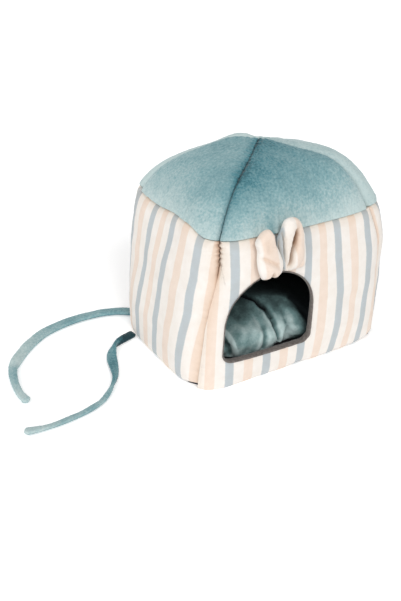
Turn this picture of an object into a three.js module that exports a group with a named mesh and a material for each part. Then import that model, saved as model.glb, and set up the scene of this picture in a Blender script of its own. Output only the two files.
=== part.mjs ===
// A padded cloth pet house that stands on the floor. Millimetres, +Z up, the doorway faces -Y.
// Every piece that is cut and sewn on its own is one closed solid.
import * as THREE from 'three';

// The padded body: horizontal sections are rounded rectangles, given here from the floor to the eave.
// The two last columns say how square its front and back corners are.
const SECTIONS = [
  { height: 0, left: 197, right: 200, front: 152, back: 139, frontSquare: 5.6, backSquare: 4.4 },
  { height: 65, left: 202, right: 208, front: 159, back: 147, frontSquare: 4.5, backSquare: 4.4 },
  { height: 130, left: 197, right: 207, front: 160, back: 152, frontSquare: 4.2, backSquare: 4.6 },
  { height: 195, left: 187, right: 201, front: 160, back: 154, frontSquare: 4.4, backSquare: 5 },
  { height: 260, left: 167, right: 181, front: 148, back: 149, frontSquare: 4.6, backSquare: 5.8 },
];
const EAVE_HEIGHT = 260;
// Middle of the whole part without its ties; the part is moved so that this lies on the origin
const ORIGIN = { x: 3.2, y: -10.3 };
const WALL_FOOT = 0.6; // lowest edge of the walls
const CORNER_LIFT = 5; // how much higher the walls end at the corner seams
const CORNER_LIFT_REACH = 7; // in degrees
const ROOF_RISE = 99;
// Share of the rise that is a plain slope, the rest is the full rim
const ROOF_SLOPES = { front: 0.26, back: 0.6, left: 0.3, right: 0.45 };
const ROOF_FULLNESS = 4.6; // how late the full rim curves down
const ROOF_TOP_ROUNDING = 0.1; // share of the roof's reach that is rounded off at its top
const ROOF_TIP = 0.008; // the share of the roof's reach where its four points end

// Directions of the four corner seams seen from above, in degrees from +X, at three heights.
const CORNER_SEAMS = {
  backRight: { bottom: 35, middle: 35, top: 35 },
  backLeft: { bottom: 145, middle: 145, top: 145 },
  frontLeft: { bottom: 214, middle: 218.5, top: 221 },
  frontRight: { bottom: 325, middle: 322, top: 316 },
};

// Padding and seams
const WALL_THICKNESS = 21;
const ROOF_THICKNESS = 17;
const SEAM_SINK = 8; // how deep a seam lies below the padded surface
const FLOOR_SEAM_SINK = 4;
const SEAM_THICKNESS = 5; // what is left of the padding where it is sewn through
const SEAM_REACH = 9; // how far from a seam the padding is drawn in
const SEAM_GAP = 0.6; // between two sewn pieces
const HIP_FADE = 70; // nearer the roof's top than this the hip seams get shallower
const ROOF_SPAN = 180; // over the roof from the eave to its top, about

// Doorway: straight sides, a round head and small rounded lower corners
const DOOR_MIDDLE = -60;
const DOOR_HALF_WIDTH = 81;
const DOOR_SILL = 47.5;
const DOOR_SPRING = 118; // where the sides pass into the round head
const DOOR_CORNER_RADIUS = 12;
const DOOR_EDGE_THICKNESS = 14;
const DOOR_EDGE_SINK = 3;
const DOOR_EDGE_REACH = 12;
const BINDING_WIDTH = 5.5;
const BINDING_THICKNESS = 1.8;
const BINDING_CLEARANCE = 0.5;
const BINDING_SPARE = 0.6; // more clearance where the binding lies flat on the curved wall

// Base panel: how far each level of its rim lies inside the walls' outline; at the corners it comes out further
const BASE_TOP = 14;
const BASE_RIM = [
  { z: 0, inset: 11.5, cornerReach: 3 },
  { z: 1.2, inset: 11.7, cornerReach: 6 },
  { z: 3.6, inset: 14.1, cornerReach: 8 },
  { z: 5, inset: 16.5, cornerReach: 3 },
  { z: 10, inset: 20.5, cornerReach: 0 },
  { z: 13, inset: 26, cornerReach: 0 },
  { z: BASE_TOP, inset: 48, cornerReach: 0 },
];

// Cushion
const CUSHION = { halfLength: 160, halfWidth: 108, height: 74, middleX: 3, middleY: -5, squareness: 3.2 };
const CUSHION_SEAM_HEIGHT = 30; // its side seam above the base
const CUSHION_CROWN_SHIFT = -42; // the crown lies this far towards the doorway
const CUSHION_SECTIONS = [
  { reach: 0.8, rise: 0 },
  { reach: 0.9, rise: 0.06 },
  { reach: 0.975, rise: 0.22 },
  { reach: 1, rise: 0.405 },
  { reach: 0.985, rise: 0.54 },
  { reach: 0.94, rise: 0.67 },
  { reach: 0.86, rise: 0.78 },
  { reach: 0.74, rise: 0.87 },
  { reach: 0.58, rise: 0.94 },
  { reach: 0.4, rise: 0.98 },
  { reach: 0.2, rise: 0.995 },
];
// Main creases of the cushion, running from one point to the other seen from above
const CUSHION_CREASES = [
  { fromX: -95, fromY: -10, toX: -52, toY: -112, depth: 9, reach: 13 },
  { fromX: -45, fromY: -72, toX: -28, toY: -116, depth: 6, reach: 10 },
  { fromX: -140, fromY: -40, toX: -104, toY: -116, depth: 7, reach: 12 },
  { fromX: 40, fromY: 10, toX: 112, toY: 62, depth: 6, reach: 16 },
  { fromX: -60, fromY: 96, toX: -20, toY: 34, depth: 6, reach: 15 },
];

// Bow: two upright padded loops above the doorway
const BOW_LOOPS = {
  bow_loop_left: { x: -76, base: 198, height: 80, halfWidth: 21, halfDepth: 12, lean: 1 },
  bow_loop_right: { x: -30, base: 200, height: 88, halfWidth: 22, halfDepth: 12, lean: 5 },
};
// Sections of a loop from its foot to its top, as shares of its sizes; off is its clearance to the wall
const BOW_SECTIONS = [
  { rise: 0, width: 0.6, depth: 0.5, off: 1 },
  { rise: 0.06, width: 0.8, depth: 0.72, off: 0.6 },
  { rise: 0.16, width: 0.74, depth: 0.78, off: 0.5 },
  { rise: 0.3, width: 0.84, depth: 0.9, off: 0.1 },
  { rise: 0.5, width: 0.98, depth: 1, off: 0.6 },
  { rise: 0.68, width: 1, depth: 1, off: 0 },
  { rise: 0.84, width: 0.86, depth: 0.9, off: 0 },
  { rise: 0.94, width: 0.6, depth: 0.68, off: 2 },
  { rise: 0.985, width: 0.34, depth: 0.4, off: 5 },
];
const BOW_SIDES = 20;
const BOW_CREASE = 7;

// Ties: flat soft strips that lie on the floor, listed along their middle lines
const TIE_WIDTH = 18;
const TIE_THICKNESS = 5;
const TIE_STEPS = 30;
const TIE_ROUTES = {
  tie_upper: [
    [-157, 124.9, 3.4], [-171.5, 137, 2.8], [-190, 148, 2.8], [-215, 155, 2.8], [-240, 158, 2.8], [-265, 158, 2.8],
    [-290, 155, 2.8], [-315, 148.5, 2.8], [-340, 138, 2.8], [-365, 123.5, 2.8], [-388, 105, 2.8], [-407, 84, 2.8],
    [-421, 60, 2.8], [-431, 34, 2.8], [-436.5, 6, 2.8], [-438, -20, 2.8], [-437, -40, 2.8],
  ],
  tie_lower: [
    [-196.8, 66.5, 3.4], [-212, 61.5, 2.8], [-228, 52, 2.8], [-244, 39, 2.8], [-257, 23, 2.8], [-267, 4, 2.8],
    [-276, -17, 2.8], [-285, -38, 2.8], [-297, -58, 2.8], [-313, -76, 2.8], [-333, -90, 2.8], [-356, -99.5, 2.8],
    [-381, -105.5, 2.8], [-406, -109.5, 2.8], [-432, -111, 2.8], [-455, -109.5, 2.8], [-473, -106, 2.8],
  ],
};

// Mesh fineness
const PANEL_EDGE_STEPS = [0, 0.02, 0.06, 0.14, 0.28];
const PANEL_MIDDLE_STEPS = 3;
const ROOF_STEPS = [0, 0.03, 0.08, 0.16, 0.3, 0.46, 0.62, 0.78, 0.91, 1];
const DOOR_RING_STEPS = [1, 0.93, 0.8, 0.55, 0.3, 0.14, 0.05, 0]; // from the wall's seams to the doorway
const DOOR_SIDE_STEPS = 12;
const RING_STEPS = 48;

const radians = THREE.MathUtils.degToRad;

// Smooth curve through the rows of a table, for one of its columns
function smoothColumn(rows, column, height) {
  const last = rows.length - 2;
  const spacing = rows[1].height - rows[0].height;
  const place = Math.min(Math.max((height - rows[0].height) / spacing, 0), last + 1);
  const k = Math.min(Math.floor(place), last);
  const t = place - k;
  const at = (index) => rows[Math.min(Math.max(index, 0), last + 1)][column];
  const before = slopeAt(at, k, last);
  const after = slopeAt(at, k + 1, last);
  const t2 = t * t;
  const t3 = t2 * t;
  return (2 * t3 - 3 * t2 + 1) * at(k) + (t3 - 2 * t2 + t) * before
    + (3 * t2 - 2 * t3) * at(k + 1) + (t3 - t2) * after;
}

function slopeAt(at, k, last) {
  if (k === 0) return at(1) - at(0);
  if (k === last + 1) return at(k) - at(k - 1);
  return (at(k + 1) - at(k - 1)) / 2;
}

function seamAngle(name, level) {
  const seam = CORNER_SEAMS[name];
  const t = Math.min(level, 1);
  const degrees = seam.bottom * (1 - t) * (1 - 2 * t) + 4 * seam.middle * t * (1 - t) + seam.top * t * (2 * t - 1);
  return radians(degrees);
}

// 1 at a corner seam, 0 away from it, at the foot of the walls
function cornerShare(angle) {
  const reach = radians(CORNER_LIFT_REACH);
  return Object.keys(CORNER_SEAMS).reduce((share, name) => {
    const apart = angle - seamAngle(name, 0);
    const wrapped = Math.atan2(Math.sin(apart), Math.cos(apart));
    return Math.max(share, Math.exp(-((wrapped / reach) ** 2)));
  }, 0);
}

// Distance from the middle to the padded outline at one height
function outlineRadius(angle, height) {
  const side = smoothColumn(SECTIONS, Math.cos(angle) < 0 ? 'left' : 'right', height);
  const depth = smoothColumn(SECTIONS, Math.sin(angle) < 0 ? 'front' : 'back', height);
  const n = smoothColumn(SECTIONS, Math.sin(angle) < 0 ? 'frontSquare' : 'backSquare', height);
  return ((Math.abs(Math.cos(angle)) / side) ** n + (Math.abs(Math.sin(angle)) / depth) ** n) ** (-1 / n);
}

// Point of the padded surface, seams left out. Level 0 to 1 is the wall, 1 to 2 the roof up to its top.
function bodyPoint(angle, level) {
  const foot = WALL_FOOT + CORNER_LIFT * cornerShare(angle);
  const height = foot + Math.min(level, 1) * (EAVE_HEIGHT - foot);
  let radius = outlineRadius(angle, height);
  let z = height;
  if (level > 1) {
    const reach = Math.max(2 - level, 0);
    const slope = ROOF_SLOPES[Math.cos(angle) < 0 ? 'left' : 'right'] * Math.cos(angle) ** 2
      + ROOF_SLOPES[Math.sin(angle) < 0 ? 'front' : 'back'] * Math.sin(angle) ** 2;
    const rounded = (share) => Math.hypot(share, ROOF_TOP_ROUNDING) - ROOF_TOP_ROUNDING;
    radius *= reach;
    z += ROOF_RISE * (1 - (slope * rounded(reach)) / rounded(1) - (1 - slope) * reach ** ROOF_FULLNESS);
  }
  return new THREE.Vector3(radius * Math.cos(angle), radius * Math.sin(angle), z);
}

function bodyNormal(angle, level) {
  const turn = 0.01;
  const rise = 0.02;
  const low = Math.max(level - rise, 0);
  const high = Math.min(level + rise, 2 - ROOF_TIP / 2);
  const around = bodyPoint(angle + turn, level).sub(bodyPoint(angle - turn, level));
  const up = bodyPoint(angle, high).sub(bodyPoint(angle, low));
  return around.cross(up).normalize();
}

// How much a seam draws the padding in, from 1 on the seam to 0 far from it
function drawIn(distance, reach) {
  return Math.exp(-distance / reach);
}

// How far the outer skin sinks and the inner skin lifts at one place between two corner seams
function seamPull(angle, level, startSeam, endSeam, thickness) {
  const point = bodyPoint(angle, level);
  const toStart = point.distanceTo(bodyPoint(seamAngle(startSeam, level), level));
  const toEnd = point.distanceTo(bodyPoint(seamAngle(endSeam, level), level));
  const fade = level > 1 ? Math.min(1, Math.hypot(point.x, point.y) / HIP_FADE) : 1;
  const corner = drawIn(Math.min(toStart, toEnd), SEAM_REACH) * fade;
  const span = level > 1 ? ROOF_SPAN : EAVE_HEIGHT;
  const eave = drawIn(Math.abs(level - 1) * span, SEAM_REACH);
  const floor = drawIn(level * span, SEAM_REACH);
  const side = Math.max(corner, eave);
  return {
    sink: Math.max(SEAM_SINK * side, FLOOR_SEAM_SINK * floor),
    lift: Math.max((thickness - SEAM_SINK - SEAM_THICKNESS) * side,
      (thickness - FLOOR_SEAM_SINK - SEAM_THICKNESS) * floor),
  };
}

// Outer and inner point of the padding for one place on the body; near the roof's top it is measured upright
function paddedPair(angle, level, thickness, pull) {
  const point = bodyPoint(angle, level);
  const up = new THREE.Vector3(0, 0, 1);
  const across = bodyNormal(angle, level).lerp(up, Math.max(level - 1, 0)).normalize();
  return {
    outer: point.clone().addScaledVector(across, -pull.sink),
    inner: point.clone().addScaledVector(across, pull.lift - thickness),
  };
}

// Steps from 0 to 1, close together near both ends
function edgeSteps(middleSteps = PANEL_MIDDLE_STEPS) {
  const steps = [...PANEL_EDGE_STEPS];
  const last = PANEL_EDGE_STEPS[PANEL_EDGE_STEPS.length - 1];
  for (let k = 1; k < middleSteps; k += 1) {
    steps.push(last + ((1 - 2 * last) * k) / middleSteps);
  }
  for (const step of [...PANEL_EDGE_STEPS].reverse()) {
    steps.push(1 - step);
  }
  return steps;
}

// Closed solid from a grid of outer and inner points
function shellGeometry(pairs, closedAround = false) {
  const rows = pairs.length;
  const columns = pairs[0].length;
  const positions = [];
  const index = [];
  for (const side of ['outer', 'inner']) {
    for (const row of pairs) {
      for (const pair of row) {
        positions.push(pair[side].x, pair[side].y, pair[side].z);
      }
    }
  }
  const at = (row, column, inner) => (inner ? rows * columns : 0) + row * columns + (column % columns);
  const quad = (a, b, c, d) => index.push(a, b, c, a, c, d);
  const spans = closedAround ? columns : columns - 1;
  for (let r = 0; r < rows - 1; r += 1) {
    for (let c = 0; c < spans; c += 1) {
      quad(at(r, c, 0), at(r, c + 1, 0), at(r + 1, c + 1, 0), at(r + 1, c, 0));
      quad(at(r, c, 1), at(r + 1, c, 1), at(r + 1, c + 1, 1), at(r, c + 1, 1));
    }
  }
  for (let c = 0; c < spans; c += 1) {
    quad(at(0, c, 0), at(0, c, 1), at(0, c + 1, 1), at(0, c + 1, 0));
    quad(at(rows - 1, c, 0), at(rows - 1, c + 1, 0), at(rows - 1, c + 1, 1), at(rows - 1, c, 1));
  }
  if (!closedAround) {
    for (let r = 0; r < rows - 1; r += 1) {
      quad(at(r, 0, 0), at(r + 1, 0, 0), at(r + 1, 0, 1), at(r, 0, 1));
      quad(at(r, columns - 1, 0), at(r, columns - 1, 1), at(r + 1, columns - 1, 1), at(r + 1, columns - 1, 0));
    }
  }
  const geometry = new THREE.BufferGeometry();
  geometry.setAttribute('position', new THREE.Float32BufferAttribute(positions, 3));
  geometry.setIndex(index);
  geometry.computeVertexNormals();
  return geometry;
}

// Angle of a place on a panel; share 0 lies on its start seam and 1 on its end seam
function panelAngle(startSeam, endSeam, share, level) {
  const start = seamAngle(startSeam, level);
  const span = (seamAngle(endSeam, level) - start + Math.PI * 2) % (Math.PI * 2);
  const point = bodyPoint(start, level);
  const edge = Math.min(SEAM_GAP / 2 / Math.hypot(point.x, point.y), span / 5);
  return start + edge + (span - 2 * edge) * share;
}

function wallPanel(startSeam, endSeam) {
  const low = SEAM_GAP / 2 / EAVE_HEIGHT;
  const pairs = edgeSteps().map((rise) => {
    const level = (1 - low) * rise;
    return edgeSteps().map((share) => {
      const angle = panelAngle(startSeam, endSeam, share, level);
      return paddedPair(angle, level, WALL_THICKNESS, seamPull(angle, level, startSeam, endSeam, WALL_THICKNESS));
    });
  });
  return shellGeometry(pairs);
}

function roofPanel(startSeam, endSeam) {
  const low = SEAM_GAP / 2 / ROOF_SPAN;
  const pairs = ROOF_STEPS.map((rise) => {
    const level = 1 + low + (1 - ROOF_TIP - low) * rise;
    return edgeSteps(2).map((share) => {
      const angle = panelAngle(startSeam, endSeam, share, level);
      return paddedPair(angle, level, ROOF_THICKNESS, seamPull(angle, level, startSeam, endSeam, ROOF_THICKNESS));
    });
  });
  return shellGeometry(pairs);
}

// Doorway outline, counter-clockwise seen from the front: sill, right side, head, left side
function doorOutline(stepsPerSide, inset = 0) {
  const half = DOOR_HALF_WIDTH - inset;
  const sill = DOOR_SILL + inset;
  const corner = Math.max(DOOR_CORNER_RADIUS - inset, 1);
  const path = new THREE.Path();
  path.moveTo(DOOR_MIDDLE - half + corner, sill);
  path.lineTo(DOOR_MIDDLE + half - corner, sill);
  path.absarc(DOOR_MIDDLE + half - corner, sill + corner, corner, -Math.PI / 2, 0, false);
  path.lineTo(DOOR_MIDDLE + half, DOOR_SPRING);
  path.absarc(DOOR_MIDDLE, DOOR_SPRING, half, 0, Math.PI, false);
  path.lineTo(DOOR_MIDDLE - half, sill + corner);
  path.absarc(DOOR_MIDDLE - half + corner, sill + corner, corner, Math.PI, Math.PI * 1.5, false);
  path.closePath();
  return path.getSpacedPoints(stepsPerSide * 4).slice(0, stepsPerSide * 4);
}

// Place on the front wall straight behind a point seen from the front
function frontPlace(x, z) {
  const side = smoothColumn(SECTIONS, x < 0 ? 'left' : 'right', z);
  const front = smoothColumn(SECTIONS, 'front', z);
  const n = smoothColumn(SECTIONS, 'frontSquare', z);
  const y = -front * (1 - (Math.abs(x) / side) ** n) ** (1 / n);
  const angle = Math.atan2(y, x) + Math.PI * 2;
  const foot = WALL_FOOT + CORNER_LIFT * cornerShare(angle);
  return { angle, level: (z - foot) / (EAVE_HEIGHT - foot) };
}

// Boundary of the front wall, in the same order and number of points as the doorway outline
function frontBoundary(stepsPerSide) {
  const top = 1 - SEAM_GAP / 2 / EAVE_HEIGHT;
  const places = [];
  const add = (share, level) => {
    places.push({ angle: panelAngle('frontLeft', 'frontRight', share, level), level });
  };
  const bend = (t) => 0.5 - 0.5 * Math.cos(Math.PI * t);
  for (let k = 0; k < stepsPerSide; k += 1) add(bend(k / stepsPerSide), 0);
  for (let k = 0; k < stepsPerSide; k += 1) add(1, top * bend(k / stepsPerSide));
  for (let k = 0; k < stepsPerSide; k += 1) add(1 - bend(k / stepsPerSide), top);
  for (let k = 0; k < stepsPerSide; k += 1) add(0, top * (1 - bend(k / stepsPerSide)));
  return places;
}

// The four parts of the doorway outline that face the four edges of the wall
function doorPlaces(stepsPerSide) {
  const marks = doorOutline(30);
  const count = marks.length;
  const nearest = (x, z) => {
    let best = 0;
    marks.forEach((mark, k) => {
      if (Math.hypot(mark.x - x, mark.y - z) < Math.hypot(marks[best].x - x, marks[best].y - z)) best = k;
    });
    return best;
  };
  const reach = DOOR_HALF_WIDTH * Math.SQRT1_2;
  const corners = [
    nearest(DOOR_MIDDLE - DOOR_HALF_WIDTH, DOOR_SILL),
    nearest(DOOR_MIDDLE + DOOR_HALF_WIDTH, DOOR_SILL),
    nearest(DOOR_MIDDLE + reach, DOOR_SPRING + reach),
    nearest(DOOR_MIDDLE - reach, DOOR_SPRING + reach),
  ];
  const places = [];
  corners.forEach((from, side) => {
    let to = corners[(side + 1) % 4];
    if (to <= from) to += count;
    for (let k = 0; k < stepsPerSide; k += 1) {
      const where = from + ((to - from) * k) / stepsPerSide;
      const whole = Math.floor(where);
      const mark = marks[whole % count].clone().lerp(marks[(whole + 1) % count], where - whole);
      places.push(frontPlace(mark.x, mark.y));
    }
  });
  return places;
}

// Distance from a point to the closed line of the doorway's edge
function doorDistance(point, edge) {
  const nearest = new THREE.Vector3();
  const part = new THREE.Line3();
  return Math.min(...edge.map((mark, k) => {
    part.set(mark, edge[(k + 1) % edge.length]).closestPointToPoint(point, true, nearest);
    return nearest.distanceTo(point);
  }));
}

// Outer and inner point of the front wall, drawn in at its seams and at the doorway
function frontPair(angle, level, edge) {
  const seam = seamPull(angle, level, 'frontLeft', 'frontRight', WALL_THICKNESS);
  const hem = drawIn(doorDistance(bodyPoint(angle, level), edge), DOOR_EDGE_REACH);
  return paddedPair(angle, level, WALL_THICKNESS, {
    sink: Math.max(seam.sink, DOOR_EDGE_SINK * hem),
    lift: Math.max(seam.lift, (WALL_THICKNESS - DOOR_EDGE_SINK - DOOR_EDGE_THICKNESS) * hem),
  });
}

function frontWall() {
  const rim = frontBoundary(DOOR_SIDE_STEPS);
  const door = doorPlaces(DOOR_SIDE_STEPS);
  const edge = door.map((place) => bodyPoint(place.angle, place.level));
  const pairs = DOOR_RING_STEPS.map((share) => rim.map((outer, k) => {
    const angle = door[k].angle + (outer.angle - door[k].angle) * share;
    const level = door[k].level + (outer.level - door[k].level) * share;
    return frontPair(angle, level, edge);
  }));
  return shellGeometry(pairs, true);
}

// Closed solid swept around a closed line, from one closed section of points at every step
function sweptRing(sections) {
  const steps = sections.length;
  const sides = sections[0].length;
  const positions = sections.flat().flatMap((point) => [point.x, point.y, point.z]);
  const index = [];
  for (let k = 0; k < steps; k += 1) {
    const next = (k + 1) % steps;
    for (let s = 0; s < sides; s += 1) {
      const turn = (s + 1) % sides;
      const a = k * sides + s;
      const b = next * sides + s;
      const c = next * sides + turn;
      const d = k * sides + turn;
      index.push(a, b, c, a, c, d);
    }
  }
  const geometry = new THREE.BufferGeometry();
  geometry.setAttribute('position', new THREE.Float32BufferAttribute(positions, 3));
  geometry.setIndex(index);
  geometry.computeVertexNormals();
  return geometry;
}

// The binding is folded over the edge of the doorway: front flap, edge, back flap
function doorBinding() {
  const door = doorPlaces(DOOR_SIDE_STEPS);
  const edge = door.map((place) => bodyPoint(place.angle, place.level));
  const near = BINDING_CLEARANCE;
  const far = BINDING_CLEARANCE + BINDING_THICKNESS;
  const sections = door.map((place, k) => {
    const before = edge[(k + edge.length - 1) % edge.length];
    const after = edge[(k + 1) % edge.length];
    const normal = bodyNormal(place.angle, place.level);
    const away = after.clone().sub(before).cross(normal).normalize();
    // A point beside the wall's skin: out from the doorway's edge, off the front skin or off the back skin
    const beside = (out, side, off) => {
      const where = edge[k].clone().addScaledVector(away, out);
      const spot = frontPlace(where.x, where.z);
      const pair = frontPair(spot.angle, spot.level, edge);
      const skin = bodyNormal(spot.angle, spot.level);
      return pair[side].addScaledVector(skin, side === 'outer' ? off : -off);
    };
    const wrap = (out, side, inset) => {
      const point = frontPair(place.angle, place.level, edge)[side];
      return point.addScaledVector(away, out).addScaledVector(normal, side === 'outer' ? -inset : inset);
    };
    const flap = BINDING_WIDTH - far;
    const low = near + BINDING_SPARE;
    const high = far + BINDING_SPARE;
    return [
      beside(flap, 'outer', low), beside(flap, 'outer', high), beside(flap / 2, 'outer', high),
      wrap(0, 'outer', -far), wrap(-far, 'outer', 1), wrap(-far, 'inner', 1), wrap(0, 'inner', -far),
      beside(flap / 2, 'inner', high), beside(flap, 'inner', high), beside(flap, 'inner', low),
      beside(flap / 2, 'inner', low), wrap(-near, 'inner', -near), wrap(-near, 'outer', -near),
      beside(flap / 2, 'outer', low),
    ];
  });
  return sweptRing(sections);
}

// Closed solid from level rings of points, closed by a fan at each end
function ringStack(rings, bottom, top) {
  const sides = rings[0].length;
  const positions = rings.flat().flatMap((point) => [point.x, point.y, point.z]);
  positions.push(bottom.x, bottom.y, bottom.z, top.x, top.y, top.z);
  const index = [];
  const low = rings.length * sides;
  const high = low + 1;
  for (let s = 0; s < sides; s += 1) {
    const turn = (s + 1) % sides;
    index.push(low, turn, s);
    index.push(high, (rings.length - 1) * sides + s, (rings.length - 1) * sides + turn);
    for (let r = 0; r < rings.length - 1; r += 1) {
      const a = r * sides + s;
      const b = r * sides + turn;
      index.push(a, b, b + sides, a, b + sides, a + sides);
    }
  }
  const geometry = new THREE.BufferGeometry();
  geometry.setAttribute('position', new THREE.Float32BufferAttribute(positions, 3));
  geometry.setIndex(index);
  geometry.computeVertexNormals();
  return geometry;
}

function basePanel() {
  const rings = BASE_RIM.map((row) => {
    const ring = [];
    for (let k = 0; k < RING_STEPS; k += 1) {
      const angle = (Math.PI * 2 * k) / RING_STEPS;
      const inward = bodyNormal(angle, 0).setZ(0).normalize();
      const inset = row.inset - row.cornerReach * cornerShare(angle);
      ring.push(bodyPoint(angle, 0).addScaledVector(inward, -inset).setZ(row.z));
    }
    return ring;
  });
  return ringStack(rings, new THREE.Vector3(0, 0, 0), new THREE.Vector3(0, 0, BASE_TOP));
}

function creaseDepth(x, y) {
  let depth = 0;
  for (const crease of CUSHION_CREASES) {
    const dx = crease.toX - crease.fromX;
    const dy = crease.toY - crease.fromY;
    const share = THREE.MathUtils.clamp(((x - crease.fromX) * dx + (y - crease.fromY) * dy) / (dx * dx + dy * dy), 0, 1);
    const away = Math.hypot(x - crease.fromX - share * dx, y - crease.fromY - share * dy);
    depth += crease.depth * Math.exp(-((away / crease.reach) ** 2)) * Math.sin(Math.PI * (0.15 + 0.7 * share));
  }
  return depth;
}

// A filled cushion: a crown on top, sides drawn in between its corners, a flat underside
function cushion() {
  const { halfLength, halfWidth, height, middleX, middleY, squareness } = CUSHION;
  const floor = BASE_TOP + SEAM_GAP;
  const topShare = (z) => Math.max(0, (z - CUSHION_SEAM_HEIGHT) / (height - CUSHION_SEAM_HEIGHT));
  const rings = CUSHION_SECTIONS.map((row) => {
    const z = row.rise * height;
    const centreY = middleY + CUSHION_CROWN_SHIFT * topShare(z) ** 2;
    const ring = [];
    for (let k = 0; k < RING_STEPS; k += 1) {
      const angle = (Math.PI * 2 * k) / RING_STEPS;
      const along = (Math.abs(Math.cos(angle)) / halfLength) ** squareness;
      const across = (Math.abs(Math.sin(angle)) / halfWidth) ** squareness;
      const drawn = 1 + 0.03 * Math.cos(angle * 4) * Math.sin(Math.PI * Math.min(row.rise, 1));
      const radius = (along + across) ** (-1 / squareness) * row.reach * (2 - drawn);
      const x = middleX + radius * Math.cos(angle);
      const y = centreY + radius * Math.sin(angle);
      ring.push(new THREE.Vector3(x, y, floor + z - creaseDepth(x, y) * Math.sqrt(topShare(z))));
    }
    return ring;
  });
  const crownY = middleY + CUSHION_CROWN_SHIFT;
  const crown = floor + height - creaseDepth(middleX, crownY);
  return ringStack(rings, new THREE.Vector3(middleX, middleY, floor), new THREE.Vector3(middleX, crownY, crown));
}

// One upright loop of the bow: gathered at its foot, full above, with a crease down its face
function bowLoop(loop) {
  const rings = BOW_SECTIONS.map((row) => {
    const z = loop.base + row.rise * loop.height;
    const spot = frontPlace(loop.x, Math.min(z, EAVE_HEIGHT));
    const wall = bodyPoint(spot.angle, spot.level).y;
    const middleX = loop.x + loop.lean * (row.rise - 0.5);
    const middleY = wall - loop.halfDepth * row.depth - row.off;
    const ring = [];
    for (let k = 0; k < BOW_SIDES; k += 1) {
      const angle = (Math.PI * 2 * k) / BOW_SIDES;
      const facing = Math.max(-Math.sin(angle), 0) ** 6;
      const crease = BOW_CREASE * facing * Math.sin(Math.PI * row.rise) ** 0.7;
      const x = middleX + loop.halfWidth * row.width * Math.cos(angle);
      const y = middleY + loop.halfDepth * row.depth * Math.sin(angle) + crease;
      ring.push(new THREE.Vector3(x, y, z));
    }
    return ring;
  });
  const middle = (ring, z) => {
    const point = new THREE.Vector3();
    ring.forEach((mark) => point.add(mark));
    return point.divideScalar(ring.length).setZ(z);
  };
  const foot = middle(rings[0], loop.base);
  const tip = middle(rings[rings.length - 1], loop.base + loop.height);
  return ringStack(rings, foot, tip);
}

function tie(route) {
  const path = new THREE.CatmullRomCurve3(route.map((point) => new THREE.Vector3(...point)));
  const section = new THREE.Shape();
  const sides = 8;
  for (let k = 0; k < sides; k += 1) {
    const angle = (Math.PI * 2 * (k + 0.5)) / sides;
    const x = (TIE_WIDTH / 2) * Math.sign(Math.cos(angle)) * Math.abs(Math.cos(angle)) ** 0.6;
    const y = (TIE_THICKNESS / 2) * Math.sign(Math.sin(angle)) * Math.abs(Math.sin(angle)) ** 0.6;
    if (k === 0) section.moveTo(y, x);
    else section.lineTo(y, x);
  }
  section.closePath();
  const geometry = new THREE.ExtrudeGeometry(section, { extrudePath: path, steps: TIE_STEPS, curveSegments: 1 });
  return geometry;
}

const hideout = new THREE.Group();

function addPiece(name, geometry, color, roughness) {
  const material = new THREE.MeshStandardMaterial({ color, roughness, metalness: 0 });
  const mesh = new THREE.Mesh(geometry, material);
  mesh.name = name;
  mesh.position.set(-ORIGIN.x, -ORIGIN.y, 0);
  hideout.add(mesh);
}

const STRIPED = '#ece2d8';
const PLUSH = '#7fa3a6';
const BROWN = '#6d5d58';
const CHARCOAL = '#2e2c30';

addPiece('wall_front', frontWall(), STRIPED, 0.9);
addPiece('wall_right', wallPanel('frontRight', 'backRight'), STRIPED, 0.9);
addPiece('wall_back', wallPanel('backRight', 'backLeft'), STRIPED, 0.9);
addPiece('wall_left', wallPanel('backLeft', 'frontLeft'), STRIPED, 0.9);
addPiece('roof_front', roofPanel('frontLeft', 'frontRight'), PLUSH, 0.95);
addPiece('roof_right', roofPanel('frontRight', 'backRight'), PLUSH, 0.95);
addPiece('roof_back', roofPanel('backRight', 'backLeft'), PLUSH, 0.95);
addPiece('roof_left', roofPanel('backLeft', 'frontLeft'), PLUSH, 0.95);
addPiece('base', basePanel(), CHARCOAL, 0.9);
addPiece('door_binding', doorBinding(), BROWN, 0.85);
addPiece('cushion', cushion(), PLUSH, 0.95);
for (const [name, loop] of Object.entries(BOW_LOOPS)) {
  addPiece(name, bowLoop(loop), STRIPED, 0.9);
}
for (const [name, route] of Object.entries(TIE_ROUTES)) {
  addPiece(name, tie(route), PLUSH, 0.95);
}

export default hideout;
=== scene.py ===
"""A padded cloth pet house with striped walls, a plush roof, a bow, a cushion and two loose ties.

Sizes are in millimetres from the middle of the padded body, as in the part's source. row_frame() turns
them into metres in the row frame. A place on the body is an angle round it and a level: 0 to 1 up the
wall, 1 to 2 up the roof.
"""

import math

import bpy
import numpy as np
from mathutils import Matrix, Vector


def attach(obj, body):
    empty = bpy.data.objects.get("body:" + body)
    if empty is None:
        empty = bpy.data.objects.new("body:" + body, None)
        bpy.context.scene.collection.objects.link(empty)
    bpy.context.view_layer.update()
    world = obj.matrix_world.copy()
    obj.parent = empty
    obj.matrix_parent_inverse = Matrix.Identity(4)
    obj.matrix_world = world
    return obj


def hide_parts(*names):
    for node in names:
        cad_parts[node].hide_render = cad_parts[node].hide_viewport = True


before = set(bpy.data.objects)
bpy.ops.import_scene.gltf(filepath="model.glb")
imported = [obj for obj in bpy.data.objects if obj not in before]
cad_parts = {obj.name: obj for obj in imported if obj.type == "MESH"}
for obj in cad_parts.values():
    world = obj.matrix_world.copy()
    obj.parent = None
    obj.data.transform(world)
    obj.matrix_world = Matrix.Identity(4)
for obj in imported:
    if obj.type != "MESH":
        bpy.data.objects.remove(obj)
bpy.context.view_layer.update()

MM = 0.001
ORIGIN = np.array([3.2, -10.3, 0.0])

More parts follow.
